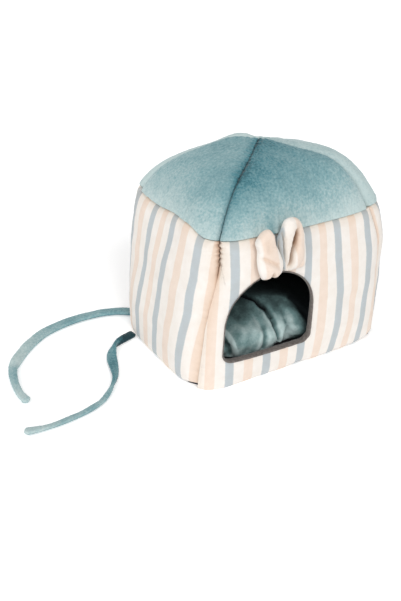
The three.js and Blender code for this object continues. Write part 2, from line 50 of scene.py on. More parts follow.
# The padded body: the same form as in the part's source, with finer corners, eave and roof
SECTION_HEIGHTS = [0, 65, 130, 195, 260]
SECTIONS = {
    "left": [197, 202, 197, 187, 167],
    "right": [198, 204, 206, 203, 186],
    "front": [152, 159, 160, 160, 148],
    "back": [139, 147, 152, 154, 149],
    "front_square": [5.6, 4.5, 4.2, 4.4, 4.6],
    "back_square": [4.4, 3.8, 3.6, 4.4, 5.8],
}
EAVE_HEIGHT = 260
WALL_FOOT = 0.6
CORNER_LIFT = 5
CORNER_LIFT_REACH = 7  # degrees
ROOF_RISE = 99
ROOF_SLOPES = {"front": 0.26, "back": 0.6, "left": 0.3, "right": 0.45}
ROOF_FULLNESS = 4.6
ROOF_TOP_ROUNDING = 0.1
ROOF_TIP = 0.008
ROOF_TIP_SHIFT = 5  # how far the roof's top leans to the right
ROOF_SPAN = 180
# Corner seams: degrees at the floor, half way up and at the eave
CORNER_SEAMS = {
    "back_right": (35, 35, 35),
    "back_left": (145, 145, 145),
    "front_left": (214, 218.5, 221),
    "front_right": (325, 322, 316),
}
WALL_THICKNESS = 21
ROOF_THICKNESS = 17
PANEL_EDGE_DEPTH = 13  # of a panel's inner skin along its seams
FLOOR_EDGE_DEPTH = 9
EDGE_FADE = 9
SEAM_GAP = 0.6
HIP_FADE = 70
BODY_RADIUS = 180  # turns an angle round the body into a rough distance

# Doorway and its binding
DOOR_MIDDLE = -60
DOOR_HALF_WIDTH = 81
DOOR_SILL = 47.5
DOOR_SPRING = 118
DOOR_CORNER_RADIUS = 17
DOOR_LEAN = 5  # how far the left side reaches out towards the sill
DOOR_LEAN_TOP = 140
DOOR_LEAN_FADE = 50
DOOR_EDGE_HEIGHTS = [55, 110, 165]
DOOR_EDGE_THICKNESS = [8.5, 6.5, 4]
DOOR_EDGE_SINK = 3
DOOR_EDGE_REACH = 12
BINDING_FLAP = 0.4
BINDING_THICKNESS = 1.2
BINDING_CLEARANCE = 0.5

# Stripes: one repeat is grey, white, peach, white
STRIPE_REPEAT = 66
GREY_WIDTH = 14.5
PEACH_WIDTH = 16

# Ties: their routes on the floor as fitted to the photograph
TIE_ROUTES = {
    "tie_upper": [
        (-157, 124.9), (-171.5, 137), (-190, 148), (-215, 155), (-240, 158), (-265, 158), (-290, 155),
        (-314, 149.5), (-336, 141.5), (-356, 130), (-375, 116), (-393, 100), (-409, 83.5), (-423, 65),
        (-432, 42), (-438, 16), (-440.5, -9), (-438.5, -35),
    ],
    "tie_lower": [
        (-196.8, 66.5), (-213, 60), (-229, 53.5), (-244, 44.5), (-256, 31), (-265, 14), (-272, -6),
        (-279, -25), (-287, -42), (-299, -58), (-315, -75), (-334, -90), (-356, -99.5), (-381, -105.5),
        (-406, -109.5), (-432, -111), (-455, -109.5), (-473, -106),
    ],
}

# Camera, fitted to the photograph
CAMERA_PLACE = (-921.7, -1366.5, 1011.7)
CAMERA_RIGHT = (0.8627, -0.5054, 0.0194)
CAMERA_UP = (0.2409, 0.4444, 0.8628)
CAMERA_LENS = 64.15  # on a 36 mm long side


def row_frame(points):
    return (np.asarray(points, float) - ORIGIN) * MM


# Camera

def add_camera():
    right = Vector(CAMERA_RIGHT).normalized()
    up = Vector(CAMERA_UP)
    up = (up - right * up.dot(right)).normalized()
    data = bpy.data.cameras.new("camera")
    data.lens = CAMERA_LENS
    data.clip_end = 50
    camera = bpy.data.objects.new("camera", data)
    bpy.context.collection.objects.link(camera)
    turn = Matrix((right, up, right.cross(up))).transposed().to_4x4()
    camera.matrix_world = Matrix.Translation(Vector(row_frame(CAMERA_PLACE))) @ turn
    bpy.context.scene.camera = camera


# Meshes

def add_numbers(mesh, key, numbers):
    """Named numbers for a mesh's points."""
    attribute = mesh.attributes.new(key, "FLOAT", "POINT")
    attribute.data.foreach_set("value", np.ravel(numbers).astype(np.float32))


def add_mesh(name, points, faces, values=None, slots=None):
    """A mesh object from points in the row frame, with named numbers for its points."""
    mesh = bpy.data.meshes.new(name)
    mesh.from_pydata(np.reshape(points, (-1, 3)).tolist(), [], faces)
    mesh.shade_smooth()
    if slots is not None:
        mesh.polygons.foreach_set("material_index", slots)
    for key, numbers in (values or {}).items():
        add_numbers(mesh, key, numbers)
    mesh.validate()
    piece = bpy.data.objects.new(name, mesh)
    bpy.context.collection.objects.link(piece)
    return piece


def grid_faces(rows, columns, wrap):
    r, c = np.meshgrid(np.arange(rows - 1), np.arange(columns if wrap else columns - 1), indexing="ij")
    a = r * columns + c
    b = r * columns + (c + 1) % columns
    return np.stack([a, b, b + columns, a + columns], -1).reshape(-1, 4)


def shell_mesh(name, outer, inner, wrap, values):
    """A closed shell from an outer and an inner grid of points; the inner side is the second slot."""
    rows, columns = outer.shape[:2]
    count = rows * columns
    front = grid_faces(rows, columns, wrap)
    last = count - columns
    c = np.arange(columns if wrap else columns - 1)
    d = (c + 1) % columns
    rims = [(c, c + count, d + count, d), (last + c, last + d, last + d + count, last + c + count)]
    if not wrap:
        r = np.arange(rows - 1) * columns
        e = r + columns - 1
        rims.append((r, r + columns, r + columns + count, r + count))
        rims.append((e, e + count, e + columns + count, e + columns))
    faces = np.concatenate([front, front[:, ::-1] + count] + [np.stack(rim, -1) for rim in rims])
    slots = np.zeros(len(faces), np.int32)
    slots[len(front):2 * len(front)] = 1
    both = {key: np.stack([numbers, numbers]) for key, numbers in values.items()}
    return add_mesh(name, row_frame(np.stack([outer, inner])), faces.tolist(), both, slots)


def closed_tube(name, rings, values):
    """A tube through rings of points with a point at both ends."""
    count, sides = rings.shape[:2]
    points = np.concatenate([rings.reshape(-1, 3), [rings[0].mean(0)], [rings[-1].mean(0)]])
    s = np.arange(sides)
    t = (s + 1) % sides
    last = (count - 1) * sides
    tip = np.full(sides, count * sides)
    ends = np.concatenate([np.stack([t, s, tip], -1), np.stack([last + s, last + t, tip + 1], -1)])
    faces = grid_faces(count, sides, True).tolist() + ends.tolist()
    values = {key: [*held.ravel(), held[0].mean(), held[-1].mean()] for key, held in values.items()}
    return add_mesh(name, row_frame(points), faces, values)


def finish_piece(piece, slot_name, *nodes):
    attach(piece, "root")
    if nodes:
        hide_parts(*nodes)
    return piece


# The padded surface

def smooth_column(name, height):
    """Smooth curve through one column of the sections."""
    values = np.array(SECTIONS[name], float)
    slopes = np.gradient(values)
    place = np.clip(np.asarray(height, float) / SECTION_HEIGHTS[1], 0, len(values) - 1)
    k = np.minimum(place.astype(int), len(values) - 2)
    t = place - k
    return ((2 * t ** 3 - 3 * t ** 2 + 1) * values[k] + (t ** 3 - 2 * t ** 2 + t) * slopes[k]
            + (3 * t ** 2 - 2 * t ** 3) * values[k + 1] + (t ** 3 - t ** 2) * slopes[k + 1])


def seam_angle(name, level):
    bottom, middle, top = CORNER_SEAMS[name]
    t = np.minimum(level, 1)
    degrees = bottom * (1 - t) * (1 - 2 * t) + 4 * middle * t * (1 - t) + top * t * (2 * t - 1)
    return np.radians(degrees)


# How far the seams bow round the body beyond that, in degrees, at levels from the floor up
SEAM_BOW_LEVELS = [0, 0.1, 0.26, 0.41, 0.56, 0.64, 0.72, 0.85, 0.93, 1, 1.25, 1.5, 1.75, 2]
SEAM_BOWS = {
    "front_left": [2.3, 1.7, 1.1, 0.5, 0.8, 1.5, 2.0, 1.6, 0.6, -1.0, 0.4, 2.4, 4, 5],
    "front_right": [0, 0, 0, 0, 0, 0, 0, 0, 0, 0, 2.5, 6, 12, 18],
    "back_left": [0, 0, 0, 0, 0, 0, 0, 0, 0, 0, -5, -8, -11, -12],
}


STITCH_SPACING = 8.5
STITCH_SWAY = 0.005  # in radians, how far the front left seam zigzags between its stitches near the eave


def panel_seam(name, level):
    bow = np.interp(level, SEAM_BOW_LEVELS, SEAM_BOWS[name]) if name in SEAM_BOWS else 0
    angle = seam_angle(name, level) + np.radians(bow)
    if name == "front_left":
        shown = np.clip((level - 0.82) / 0.05, 0, 1) * (level < 1)
        height = level * EAVE_HEIGHT
        stitches = 2 * math.pi * height / STITCH_SPACING + 3 * waves(41, 22, height)
        angle = angle + STITCH_SWAY * shown * np.sin(stitches)
    return angle


def near_angle(angle, middle, spread):
    """1 at the middle angle, fading to 0 beside it; the middle and the spread are in degrees."""
    apart = angle - np.radians(middle)
    return np.exp(-(np.arctan2(np.sin(apart), np.cos(apart)) / math.radians(spread)) ** 2)


def corner_share(angle):
    """1 at a corner seam, 0 away from it, at the foot of the walls."""
    seams = [np.degrees(seam_angle(name, 0)) for name in CORNER_SEAMS]
    return np.maximum.reduce([near_angle(angle, seam, CORNER_LIFT_REACH) for seam in seams])


def outline_radius(angle, height):
    cos, sin = np.cos(angle), np.sin(angle)
    side = np.where(cos < 0, smooth_column("left", height), smooth_column("right", height))
    depth = np.where(sin < 0, smooth_column("front", height), smooth_column("back", height))
    n = np.where(sin < 0, smooth_column("front_square", height), smooth_column("back_square", height))
    return ((np.abs(cos) / side) ** n + (np.abs(sin) / depth) ** n) ** (-1 / n)


def rounded(share):
    return np.hypot(share, ROOF_TOP_ROUNDING) - ROOF_TOP_ROUNDING


# Where the roof is fuller or flatter than the plain dome: angle and its spread in degrees, share of the way
# down from the top and its spread, and rise in millimetres
ROOF_TRIMS = [
    (42, 40, 0.58, 0.25, -10),
    (50, 42, 0.3, 0.2, -8),
    (116, 32, 0.26, 0.16, 11),
    (-28, 32, 0.68, 0.3, 11),
    (137, 30, 0.68, 0.2, -4),
]


def roof_trim(angle, reach):
    total = 0
    for middle, spread, down, down_spread, rise in ROOF_TRIMS:
        level = np.exp(-((reach - down) / down_spread) ** 2)
        total = total + rise * near_angle(angle, middle, spread) * level
    return total * np.clip(reach / 0.15, 0, 1) * np.clip((1 - reach) / 0.12, 0, 1)


# Where the eave rides up: angle and its spread in degrees, and rise in millimetres
EAVE_RISES = [(190, 15, 9.5), (203, 6, 4), (213, 5, -1.5), (238, 12, 3)]


def eave_rise(angle, level):
    total = sum(rise * near_angle(angle, middle, spread) for middle, spread, rise in EAVE_RISES)
    return total * np.exp(-((level - 1) / 0.16) ** 2)


def body_point(angle, level):
    angle, level = np.broadcast_arrays(np.asarray(angle, float), np.asarray(level, float))
    foot = WALL_FOOT + CORNER_LIFT * corner_share(angle)
    height = foot + np.minimum(level, 1) * (EAVE_HEIGHT - foot)
    reach = np.clip(2 - level, 0, 1)
    radius = outline_radius(angle, height) * reach
    cos, sin = np.cos(angle), np.sin(angle)
    slope = (np.where(cos < 0, ROOF_SLOPES["left"], ROOF_SLOPES["right"]) * cos ** 2
             + np.where(sin < 0, ROOF_SLOPES["front"], ROOF_SLOPES["back"]) * sin ** 2)
    dome = ROOF_RISE * (1 - slope * rounded(reach) / rounded(1) - (1 - slope) * reach ** ROOF_FULLNESS)
    z = height + np.where(level > 1, dome + roof_trim(angle, reach), 0) + eave_rise(angle, level)
    lean = ROOF_TIP_SHIFT * (1 - reach) ** 2
    return np.stack([radius * cos + lean, radius * sin, z], -1)


def unit(vectors):
    return vectors / np.linalg.norm(vectors, axis=-1, keepdims=True)


def body_across(angle, level):
    """Direction through the padding; near the roof's top it turns upright."""
    turn, rise = 0.01, 0.02
    low = np.maximum(level - rise, 0)
    high = np.minimum(level + rise, 2 - ROOF_TIP / 2)
    around = body_point(angle + turn, level) - body_point(angle - turn, level)
    up = body_point(angle, high) - body_point(angle, low)
    normal = unit(np.cross(around, up))
    blend = np.maximum(level - 1, 0)[..., None]
    return unit(normal * (1 - blend) + np.array([0, 0, 1.0]) * blend)


def panel_angle(start_seam, end_seam, share, level):
    start = panel_seam(start_seam, level)
    span = (panel_seam(end_seam, level) - start) % (2 * math.pi)
    point = body_point(start, level)
    edge = np.minimum(SEAM_GAP / 2 / np.hypot(point[..., 0], point[..., 1]), span / 5)
    return start + edge + (span - 2 * edge) * share


def seam_distances(angle, level, start_seam, end_seam):
    """Distance to the start seam, the end seam, the eave and the floor."""
    point = body_point(angle, level)
    to_start = np.linalg.norm(point - body_point(panel_seam(start_seam, level), level), axis=-1)
    to_end = np.linalg.norm(point - body_point(panel_seam(end_seam, level), level), axis=-1)
    span = np.where(level > 1, ROOF_SPAN, EAVE_HEIGHT)
    return to_start, to_end, np.abs(level - 1) * span, level * span


# Unevenness: all of it is seeded

def waves(seed, length, *places):
    """Smooth unevenness, mostly between -1 and 1, with waves of about that length."""
    rng = np.random.default_rng(seed)
    total = 0
    for _ in range(8):
        way = rng.normal(size=len(places))
        way /= np.linalg.norm(way)
        wave = length * rng.uniform(0.7, 1.6)
        along = sum(w * np.asarray(p) for w, p in zip(way, places))
        total = total + np.sin(2 * math.pi * along / wave + rng.uniform(0, 2 * math.pi))
    return total / 4


def gathers(distance, along, seed, spacing, reach):
    """Lumps between the stitches of a seam, dying out away from it."""
    shifted = along + 0.3 * spacing * waves(seed, spacing * 5, along)
    lumps = np.abs(np.sin(math.pi * shifted / spacing)) ** 0.7 - 0.6
    strength = 0.65 + 0.5 * waves(seed + 1, spacing * 4, along)
    return lumps * strength * np.exp(-distance / reach)


# Curves

def smooth_step(value):
    value = np.clip(value, 0, 1)
    return value * value * (3 - 2 * value)


def smoothed(rows, times):
    for _ in range(times):
        rows[:, 1:-1] = (rows[:, :-2] + 2 * rows[:, 1:-1] + rows[:, 2:]) / 4
    return rows


def even_points(line, count, closed=False):
    """Evenly spaced points on a line of points, and its length."""
    run = np.concatenate([[0], np.cumsum(np.linalg.norm(np.diff(line, axis=0), axis=1))])
    at = np.linspace(0, run[-1], count, endpoint=not closed)
    return np.stack([np.interp(at, run, column) for column in line.T], -1), run[-1]


# Walls

ARC_ANGLES = np.linspace(0, 3 * math.pi, 1081)
ARC_HEIGHTS = np.linspace(0, EAVE_HEIGHT, 27)


def arc_table():
    """Distance along the cloth round the body from angle 0, for each height and angle above."""
    a, h = np.meshgrid(ARC_ANGLES, ARC_HEIGHTS)
    radius = outline_radius(a, h)
    steps = np.hypot(np.diff(radius * np.cos(a), axis=1), np.diff(radius * np.sin(a), axis=1))
    return np.pad(np.cumsum(steps, axis=1), ((0, 0), (1, 0)))


ARCS = arc_table()


def cloth_arc(angle, height, start_angle):
    """Distance along the cloth at one height, counted from the start angle."""
    rows = [np.interp(angle, ARC_ANGLES, row) - np.interp(start_angle, ARC_ANGLES, row) for row in ARCS]
    place = np.clip(height / ARC_HEIGHTS[1], 0, len(ARC_HEIGHTS) - 1.001)
    low = place.astype(int)
    below, above = (np.take_along_axis(np.stack(rows), k[None], 0)[0] for k in (low, low + 1))
    return below + (above - below) * (place - low)


WALLS = {
    # Corner seams, the angle that the cloth is measured from, and gather strength at both seams
    "wall_front": {"seams": ("front_left", "front_right"), "start": 270, "gather": (1.6, 1.0)},
    "wall_right": {"seams": ("front_right", "back_right"), "start": 360, "gather": (1.0, 1.0)},
    "wall_back": {"seams": ("back_right", "back_left"), "start": 90, "gather": (1.0, 1.0)},
    "wall_left": {"seams": ("back_left", "front_left"), "start": 180, "gather": (1.0, 2.2)},
}
# Where the middles of the grey stripes lie along the cloth, at five levels from the floor to the eave
GREY_LEVELS = [0, 0.25, 0.5, 0.75, 1]
GREY_LINES = {
    "wall_front": [(-133, -134, -132, -130, -126), (-62, -64, -63, -60, -58), (5, 5, 5, 6, 6),
                   (71, 77, 76, 64, 63), (129, 134, 138, 132, 126)],
    "wall_right": [(-60, -62, -62, -60, -58), (6, 4, 4, 6, 8), (72, 70, 70, 72, 74)],
    "wall_back": [(-88,) * 5, (-22,) * 5, (44,) * 5, (110,) * 5],
    "wall_left": [(-48, -38, -32, -32, -37), (10, 20, 25, 30, 25), (90, 99, 108, 109, 97)],
}


def stripe_place(name, arc, level):
    """Place across the stripes: a whole number of repeats at the middle of each grey stripe."""
    lines = [np.interp(level, GREY_LEVELS, line) for line in GREY_LINES[name]]
    cloth = arc - lines[0]
    for number, (line, after) in enumerate(zip(lines, lines[1:])):
        share = (arc - line) / (after - line)
        cloth = np.where(share > 0, STRIPE_REPEAT * (number + share), cloth)
    return np.where(arc > lines[-1], arc - lines[-1] + STRIPE_REPEAT * (len(lines) - 1), cloth)


def seam_dip(wall, seam, distance, level):
    """How deep a corner seam draws the cloth in; the front left one is slack below and tight at the top."""
    pulled = np.exp(-distance / 6) + 0.2 * np.exp(-distance / 25)
    if seam != "front_left":
        return 5 * pulled
    slack = 6 * np.exp(-(distance / 13) ** 1.5) if wall == "wall_left" else 2.5 * np.exp(-distance / 4)
    return slack + (12 * pulled - slack) * smooth_step((level - 0.74) / 0.14)


def slack_share(level):
    """1 where the front left seam is slack, 0 where it is sewn tight under the eave."""
    return np.clip((0.8 - level) / 0.1, 0, 1)


def stitched(seam, distance, level):
    """Small notches between the stitches that show at the top of the front left seam."""
    if seam != "front_left":
        return 0
    height = level * EAVE_HEIGHT
    notches = np.sin(2 * math.pi * height / STITCH_SPACING + 1.5 * waves(40, 30, height))
    return 3.6 * np.clip((level - 0.84) / 0.06, 0, 1) * np.exp(-distance / 3.5) * notches


def wall_depth(name, angle, level):
    """Depth of a wall's outer skin below the padded surface, in millimetres."""
    start_seam, end_seam = WALLS[name]["seams"]
    start_gather, end_gather = WALLS[name]["gather"]
    seed = 10 * list(WALLS).index(name)
    to_start, to_end, to_eave, to_floor = seam_distances(angle, level, start_seam, end_seam)
    height = level * EAVE_HEIGHT
    around = angle * BODY_RADIUS
    place = np.moveaxis(body_point(angle, level), -1, 0)
    depth = np.maximum.reduce([
        seam_dip(name, start_seam, to_start, level),
        seam_dip(name, end_seam, to_end, level),
        6 * np.exp(-to_eave / 7),
        4.5 * np.exp(-to_floor / 6),
    ])
    depth = depth - start_gather * gathers(to_start, height, seed + 1, 13, 16)
    depth = depth - end_gather * gathers(to_end, height, seed + 3, 13, 16)
    depth = depth + stitched(start_seam, to_start, level) - stitched(end_seam, to_end, level)
    depth = depth - 0.9 * gathers(to_eave, around, seed + 5, 21, 14)
    depth = depth - 0.8 * gathers(to_floor, around, seed + 7, 24, 12)
    middle = 1 - np.exp(-np.minimum.reduce([to_start, to_end, to_eave, to_floor]) / 25)
    return depth - middle * (2 * waves(seed + 8, 95, *place) + 0.8 * waves(seed + 9, 38, *place))


def edge_lift(thickness, edge_depth, distance):
    """How far the inner skin rises towards a panel's edge."""
    return (thickness - edge_depth) * np.exp(-distance / EDGE_FADE)


def inner_depth(angle, level, seams):
    """Depth of a wall's inner skin below the padded surface."""
    *others, to_floor = seam_distances(angle, level, *seams)
    lift = edge_lift(WALL_THICKNESS, PANEL_EDGE_DEPTH, np.minimum.reduce(others))
    return WALL_THICKNESS - np.maximum(lift, edge_lift(WALL_THICKNESS, FLOOR_EDGE_DEPTH, to_floor))


def eased(count):
    """Shares from 0 to 1, closer together near both ends."""
    t = np.linspace(0, 1, count)
    return 0.45 * t + 0.55 * (0.5 - 0.5 * np.cos(math.pi * t))


def wall_values(name, angle, level):
    start_seam, end_seam = WALLS[name]["seams"]
    height = np.clip(level, 0, 1) * EAVE_HEIGHT
    arc = cloth_arc(angle, height, math.radians(WALLS[name]["start"]))
    to_start, to_end, to_eave, _ = seam_distances(angle, level, start_seam, end_seam)
    # The seam value sets the painted shade near the seams and under the eave, starting further off where the
    # front left seam hangs slack
    slack = 9 * slack_share(level)
    start_shade_offset = slack if start_seam == "front_left" else 12
    end_shade_offset = 0.3 * slack if end_seam == "front_left" else 12
    seam = np.minimum.reduce([to_start + start_shade_offset, to_end + end_shade_offset, to_eave + 5])
    return {"cloth": stripe_place(name, arc, level), "rise": height, "seam": seam}


FOOT_LIFT = 3.5  # of the left wall where the dark base shows
TOE_OUT = 8  # how far the front wall's left corner spreads on the floor
TOE_DROP = 5
FRONT_LAP = 1.6  # how far the front wall laps over the left one below the tight part of their seam
DENT_LIFT = 4  # of the front wall's foot near its middle
HEEL_LIFT = 5  # of the front wall towards its right corner
FLOOR_CLEARANCE = 0.4


def shape_foot(name, outer, across, to_start, to_end):
    """Spread and lift a wall's outer skin near the floor."""
    x, y, z = np.moveaxis(outer, -1, 0)
    if name == "wall_left":
        z += FOOT_LIFT * np.exp(-(to_end / 24) ** 2) * np.exp(-z / 10)
    if name == "wall_front":
        toe = np.exp(-(to_start / 60) ** 2) * np.exp(-z / 14)
        outer += across * (TOE_OUT * toe)[..., None]
        z -= TOE_DROP * toe
    if name in ("wall_front", "wall_right"):
        heel = np.clip((x - 10) / 150, 0, 1) * np.clip((-60 - y) / 80, 0, 1)
        dent = DENT_LIFT * (name == "wall_front") * np.exp(-((x - 8) / 16) ** 2)
        z += (HEEL_LIFT * heel + dent) * np.exp(-z / 16)
    np.maximum(z, FLOOR_CLEARANCE, out=z)


def padded_wall(name, angle, level, depth, hem, wrap):
    seams = WALLS[name]["seams"]
    across = body_across(angle, level)
    point = body_point(angle, level)
    outer = point - across * depth[..., None]
    to_start, to_end, _, _ = seam_distances(angle, level, *seams)
    shape_foot(name, outer, across, to_start, to_end)
    inside = inner_depth(angle, level, seams) - hem
    inner = point - across * np.maximum(inside, depth + 2)[..., None]
    inner[..., 2] = np.maximum(inner[..., 2], 3 * FLOOR_CLEARANCE)
    piece = shell_mesh(name + "_cloth", outer, inner, wrap, wall_values(name, angle, level))
    return finish_piece(piece, "striped_cotton", name)


def panel_grid(seams, columns, rows, low, high):
    """Angles and levels of an even grid over a panel, and the share of the way round it."""
    level = np.repeat((low + (high - low) * eased(rows))[:, None], columns, 1)
    share = np.repeat(eased(columns)[None, :], rows, 0)
    return panel_angle(*seams, share, level), level, share


def plain_wall(name, columns, rows):
    top = 1 - SEAM_GAP / 2 / EAVE_HEIGHT
    angle, level, _ = panel_grid(WALLS[name]["seams"], columns, rows, 0, top)
    return padded_wall(name, angle, level, wall_depth(name, angle, level), 0, False)


# Doorway

def door_outline(count, inset=0):
    """Even points round the doorway's edge, seen from the front: sill, right side, head, left side."""
    half = DOOR_HALF_WIDTH - inset
    sill = DOOR_SILL + inset
    corner = max(DOOR_CORNER_RADIUS - inset, 1)
    right, left = DOOR_MIDDLE + half, DOOR_MIDDLE - half
    fine = np.radians(np.linspace(0, 90, 25))
    head = np.radians(np.linspace(0, 180, 121))
    line = np.concatenate([
        np.stack([right - corner + corner * np.sin(fine), sill + corner - corner * np.cos(fine)], -1),
        np.stack([DOOR_MIDDLE + half * np.cos(head), DOOR_SPRING + half * np.sin(head)], -1),
        np.stack([left + corner - corner * np.cos(fine), sill + corner - corner * np.sin(fine)], -1),
    ])
    lean = smooth_step((DOOR_LEAN_TOP - line[:, 1]) / DOOR_LEAN_FADE)
    line[:, 0] -= DOOR_LEAN * lean * (line[:, 0] < DOOR_MIDDLE - 40)
    return even_points(np.concatenate([line, line[:1]]), count, closed=True)[0]


def front_place(x, z):
    """Angle and level on the front wall straight behind a point seen from the front."""
    side = np.where(x < 0, smooth_column("left", z), smooth_column("right", z))
    n = smooth_column("front_square", z)
    y = -smooth_column("front", z) * (1 - (np.abs(x) / side) ** n) ** (1 / n)
    angle = np.arctan2(y, x) + 2 * math.pi
    foot = WALL_FOOT + CORNER_LIFT * corner_share(angle)
    return angle, (z - foot) / (EAVE_HEIGHT - foot)


def door_quarters(per_side):
    """Angle and level of the doorway's edge, in four parts that face the wall's four edges."""
    marks = door_outline(1200)
    reach = DOOR_HALF_WIDTH * math.sqrt(0.5)
    corners = [
        (DOOR_MIDDLE - DOOR_HALF_WIDTH, DOOR_SILL),
        (DOOR_MIDDLE + DOOR_HALF_WIDTH, DOOR_SILL),
        (DOOR_MIDDLE + reach, DOOR_SPRING + reach),
        (DOOR_MIDDLE - reach, DOOR_SPRING + reach),
    ]
    found = [int(np.argmin(np.hypot(*(marks - corner).T))) for corner in corners]
    count = len(marks)
    places = []
    for start, stop in zip(found, found[1:] + found[:1]):
        at = start + (stop - start) % count * np.arange(per_side) / per_side
        places.append([np.interp(at, np.arange(count), column, period=count) for column in marks.T])
    return front_place(*np.concatenate(places, axis=1))


def front_rim(per_side):
    """Angle and level along the front wall's four edges: floor, right seam, eave, left seam."""
    top = 1 - SEAM_GAP / 2 / EAVE_HEIGHT
    t = 0.5 - 0.5 * np.cos(math.pi * np.arange(per_side) / per_side)
    zero, one = np.zeros(per_side), np.ones(per_side)
    share = np.concatenate([t, one, 1 - t, zero])
    level = np.concatenate([zero, top * t, top * one, top * (1 - t)])
    lap = FRONT_LAP / 170 * slack_share(level) * (share == 0)
    return panel_angle("front_left", "front_right", share, level) - lap, level


def door_distance(point):
    """Distance from points on the front wall to the doorway's edge."""
    marks = door_outline(360)
    angle, level = front_place(marks[:, 0], marks[:, 1])
    edge = body_point(angle, level)
    flat = point.reshape(-1, 3)
    best = np.full(len(flat), 1e9)
    for mark in edge:
        best = np.minimum(best, ((flat - mark) ** 2).sum(-1))
    return np.sqrt(best).reshape(point.shape[:-1])


def front_depth(angle, level):
    point = body_point(angle, level)
    away = door_distance(point)
    depth = wall_depth("wall_front", angle, level)
    round_door = np.arctan2(point[..., 2] - DOOR_SPRING, point[..., 0] - DOOR_MIDDLE) * DOOR_HALF_WIDTH
    hem = DOOR_EDGE_SINK * np.exp(-away / DOOR_EDGE_REACH)
    corner = np.exp(-((point[..., 0] - 16) / 22) ** 2 - ((point[..., 2] - 62) / 22) ** 2)
    depth = np.maximum(depth, hem) - (0.6 + 1.2 * corner) * gathers(away, round_door, 71, 15, 13)
    return depth, away


def front_wall(per_side, rings):
    rim_angle, rim_level = front_rim(per_side)
    door_angle, door_level = door_quarters(per_side)
    share = 1 - eased(rings)[:, None]
    angle = door_angle + (rim_angle - door_angle) * share
    level = door_level + (rim_level - door_level) * share
    depth, away = front_depth(angle, level)
    edge = edge_thickness(level * EAVE_HEIGHT)
    hem = (WALL_THICKNESS - DOOR_EDGE_SINK - edge) * np.exp(-away / DOOR_EDGE_REACH)
    return padded_wall("wall_front", angle, level, depth, hem, True)


def edge_thickness(height):
    return np.interp(height, DOOR_EDGE_HEIGHTS, DOOR_EDGE_THICKNESS)


def binding_section(edge):
    """Closed section of the binding: distance out from the edge, and depth below the wall's skin."""
    near = BINDING_CLEARANCE
    far = near + BINDING_THICKNESS
    return [
        (BINDING_FLAP, -near), (BINDING_FLAP + 0.3, -far * 0.6), (BINDING_FLAP - 0.4, -far),
        (BINDING_FLAP * 0.5, -far - 0.1), (0, -far), (-far * 0.6, -far * 0.6), (-far, 0.6),
        (-far - 0.3, edge * 0.25), (-far - 0.1, edge * 0.5), (-far - 0.3, edge * 0.75), (-far, edge - 0.6),
        (-far * 0.6, edge + far * 0.6), (0, edge + far), (BINDING_FLAP, edge + far),
        (BINDING_FLAP, edge + near), (0, edge + near), (-near, edge + near), (-near, edge * 0.5),
        (-near, -near), (0, -near),
    ]


def door_binding(steps):
    marks = door_outline(steps)
    angle, level = front_place(marks[:, 0], marks[:, 1])
    edge = body_point(angle, level)
    across = body_across(angle, level)
    along = unit(np.roll(edge, -1, 0) - np.roll(edge, 1, 0))
    away = unit(np.cross(along, across))
    run = np.arange(steps) * 1.35
    skin = front_depth(angle, level)[0]
    rings = []
    for out, down in binding_section(edge_thickness(marks[:, 1])):
        wobble = 0.25 * waves(80, 16, run) if out < 0 else 0
        spot = edge + away * out
        on_wall = body_point(*front_place(spot[:, 0], spot[:, 2])) if out > 0 else spot
        rings.append(on_wall - across * (skin + down + wobble)[:, None])
    points = np.stack(rings, 1)
    count = points.shape[1]
    r, c = np.meshgrid(np.arange(steps), np.arange(count), indexing="ij")
    after, beside = (r + 1) % steps * count, (c + 1) % count
    faces = np.stack([r * count + c, after + c, after + beside, r * count + beside], -1).reshape(-1, 4)
    piece = add_mesh("door_binding_cloth", row_frame(points), faces.tolist(), {"run": np.repeat(run, count)})
    return finish_piece(piece, "brown_binding", "door_binding")


# Roof

ROOFS = {
    "roof_front": ("front_left", "front_right"),
    "roof_right": ("front_right", "back_right"),
    "roof_back": ("back_right", "back_left"),
    "roof_left": ("back_left", "front_left"),
}


TOPSTITCH = 0.9  # depth of the stitched line beside the front left hip


def roof_depth(name, angle, level):
    start_seam, end_seam = ROOFS[name]
    seed = 100 + 10 * list(ROOFS).index(name)
    to_start, to_end, to_eave, _ = seam_distances(angle, level, start_seam, end_seam)
    point = body_point(angle, level)
    from_top = np.hypot(point[..., 0], point[..., 1])
    fade = np.clip(from_top / HIP_FADE, 0.25, 1)
    to_hip = np.minimum(to_start, to_end)
    low = np.clip((1.4 - level) / 0.4, 0, 1)
    hip = fade * ((2.5 + 7 * low) * np.exp(-to_hip / 5) + 5.5 * np.exp(-to_hip / 17))
    rim = 3.4 * np.exp(-to_eave / 1.8) - 3 * np.exp(-((to_eave - 7) / 9) ** 2)
    depth = np.maximum(hip, rim)
    depth = depth - 1.5 * gathers(to_start, from_top, seed + 1, 11, 13)
    end_gather = 2.8 if name == "roof_left" else 1.5
    depth = depth - end_gather * gathers(to_end, from_top, seed + 2, 11, 13)
    depth = depth - 1.8 * gathers(to_eave, angle * BODY_RADIUS, seed + 3, 15, 10)
    if name == "roof_front":
        shown = np.clip((level - 1.42) / 0.08, 0, 1)
        depth = depth + TOPSTITCH * shown * np.exp(-((to_start - 9) / 1.6) ** 2)
    middle = 1 - np.exp(-np.minimum(to_hip, to_eave) / 20)
    x, y, z = np.moveaxis(point, -1, 0)
    depth = depth - middle * (1.8 * waves(seed + 4, 110, x, y) + 0.6 * waves(seed + 5, 32, x, y))
    return depth - 0.35 * waves(seed + 6, 7, x, y, z)


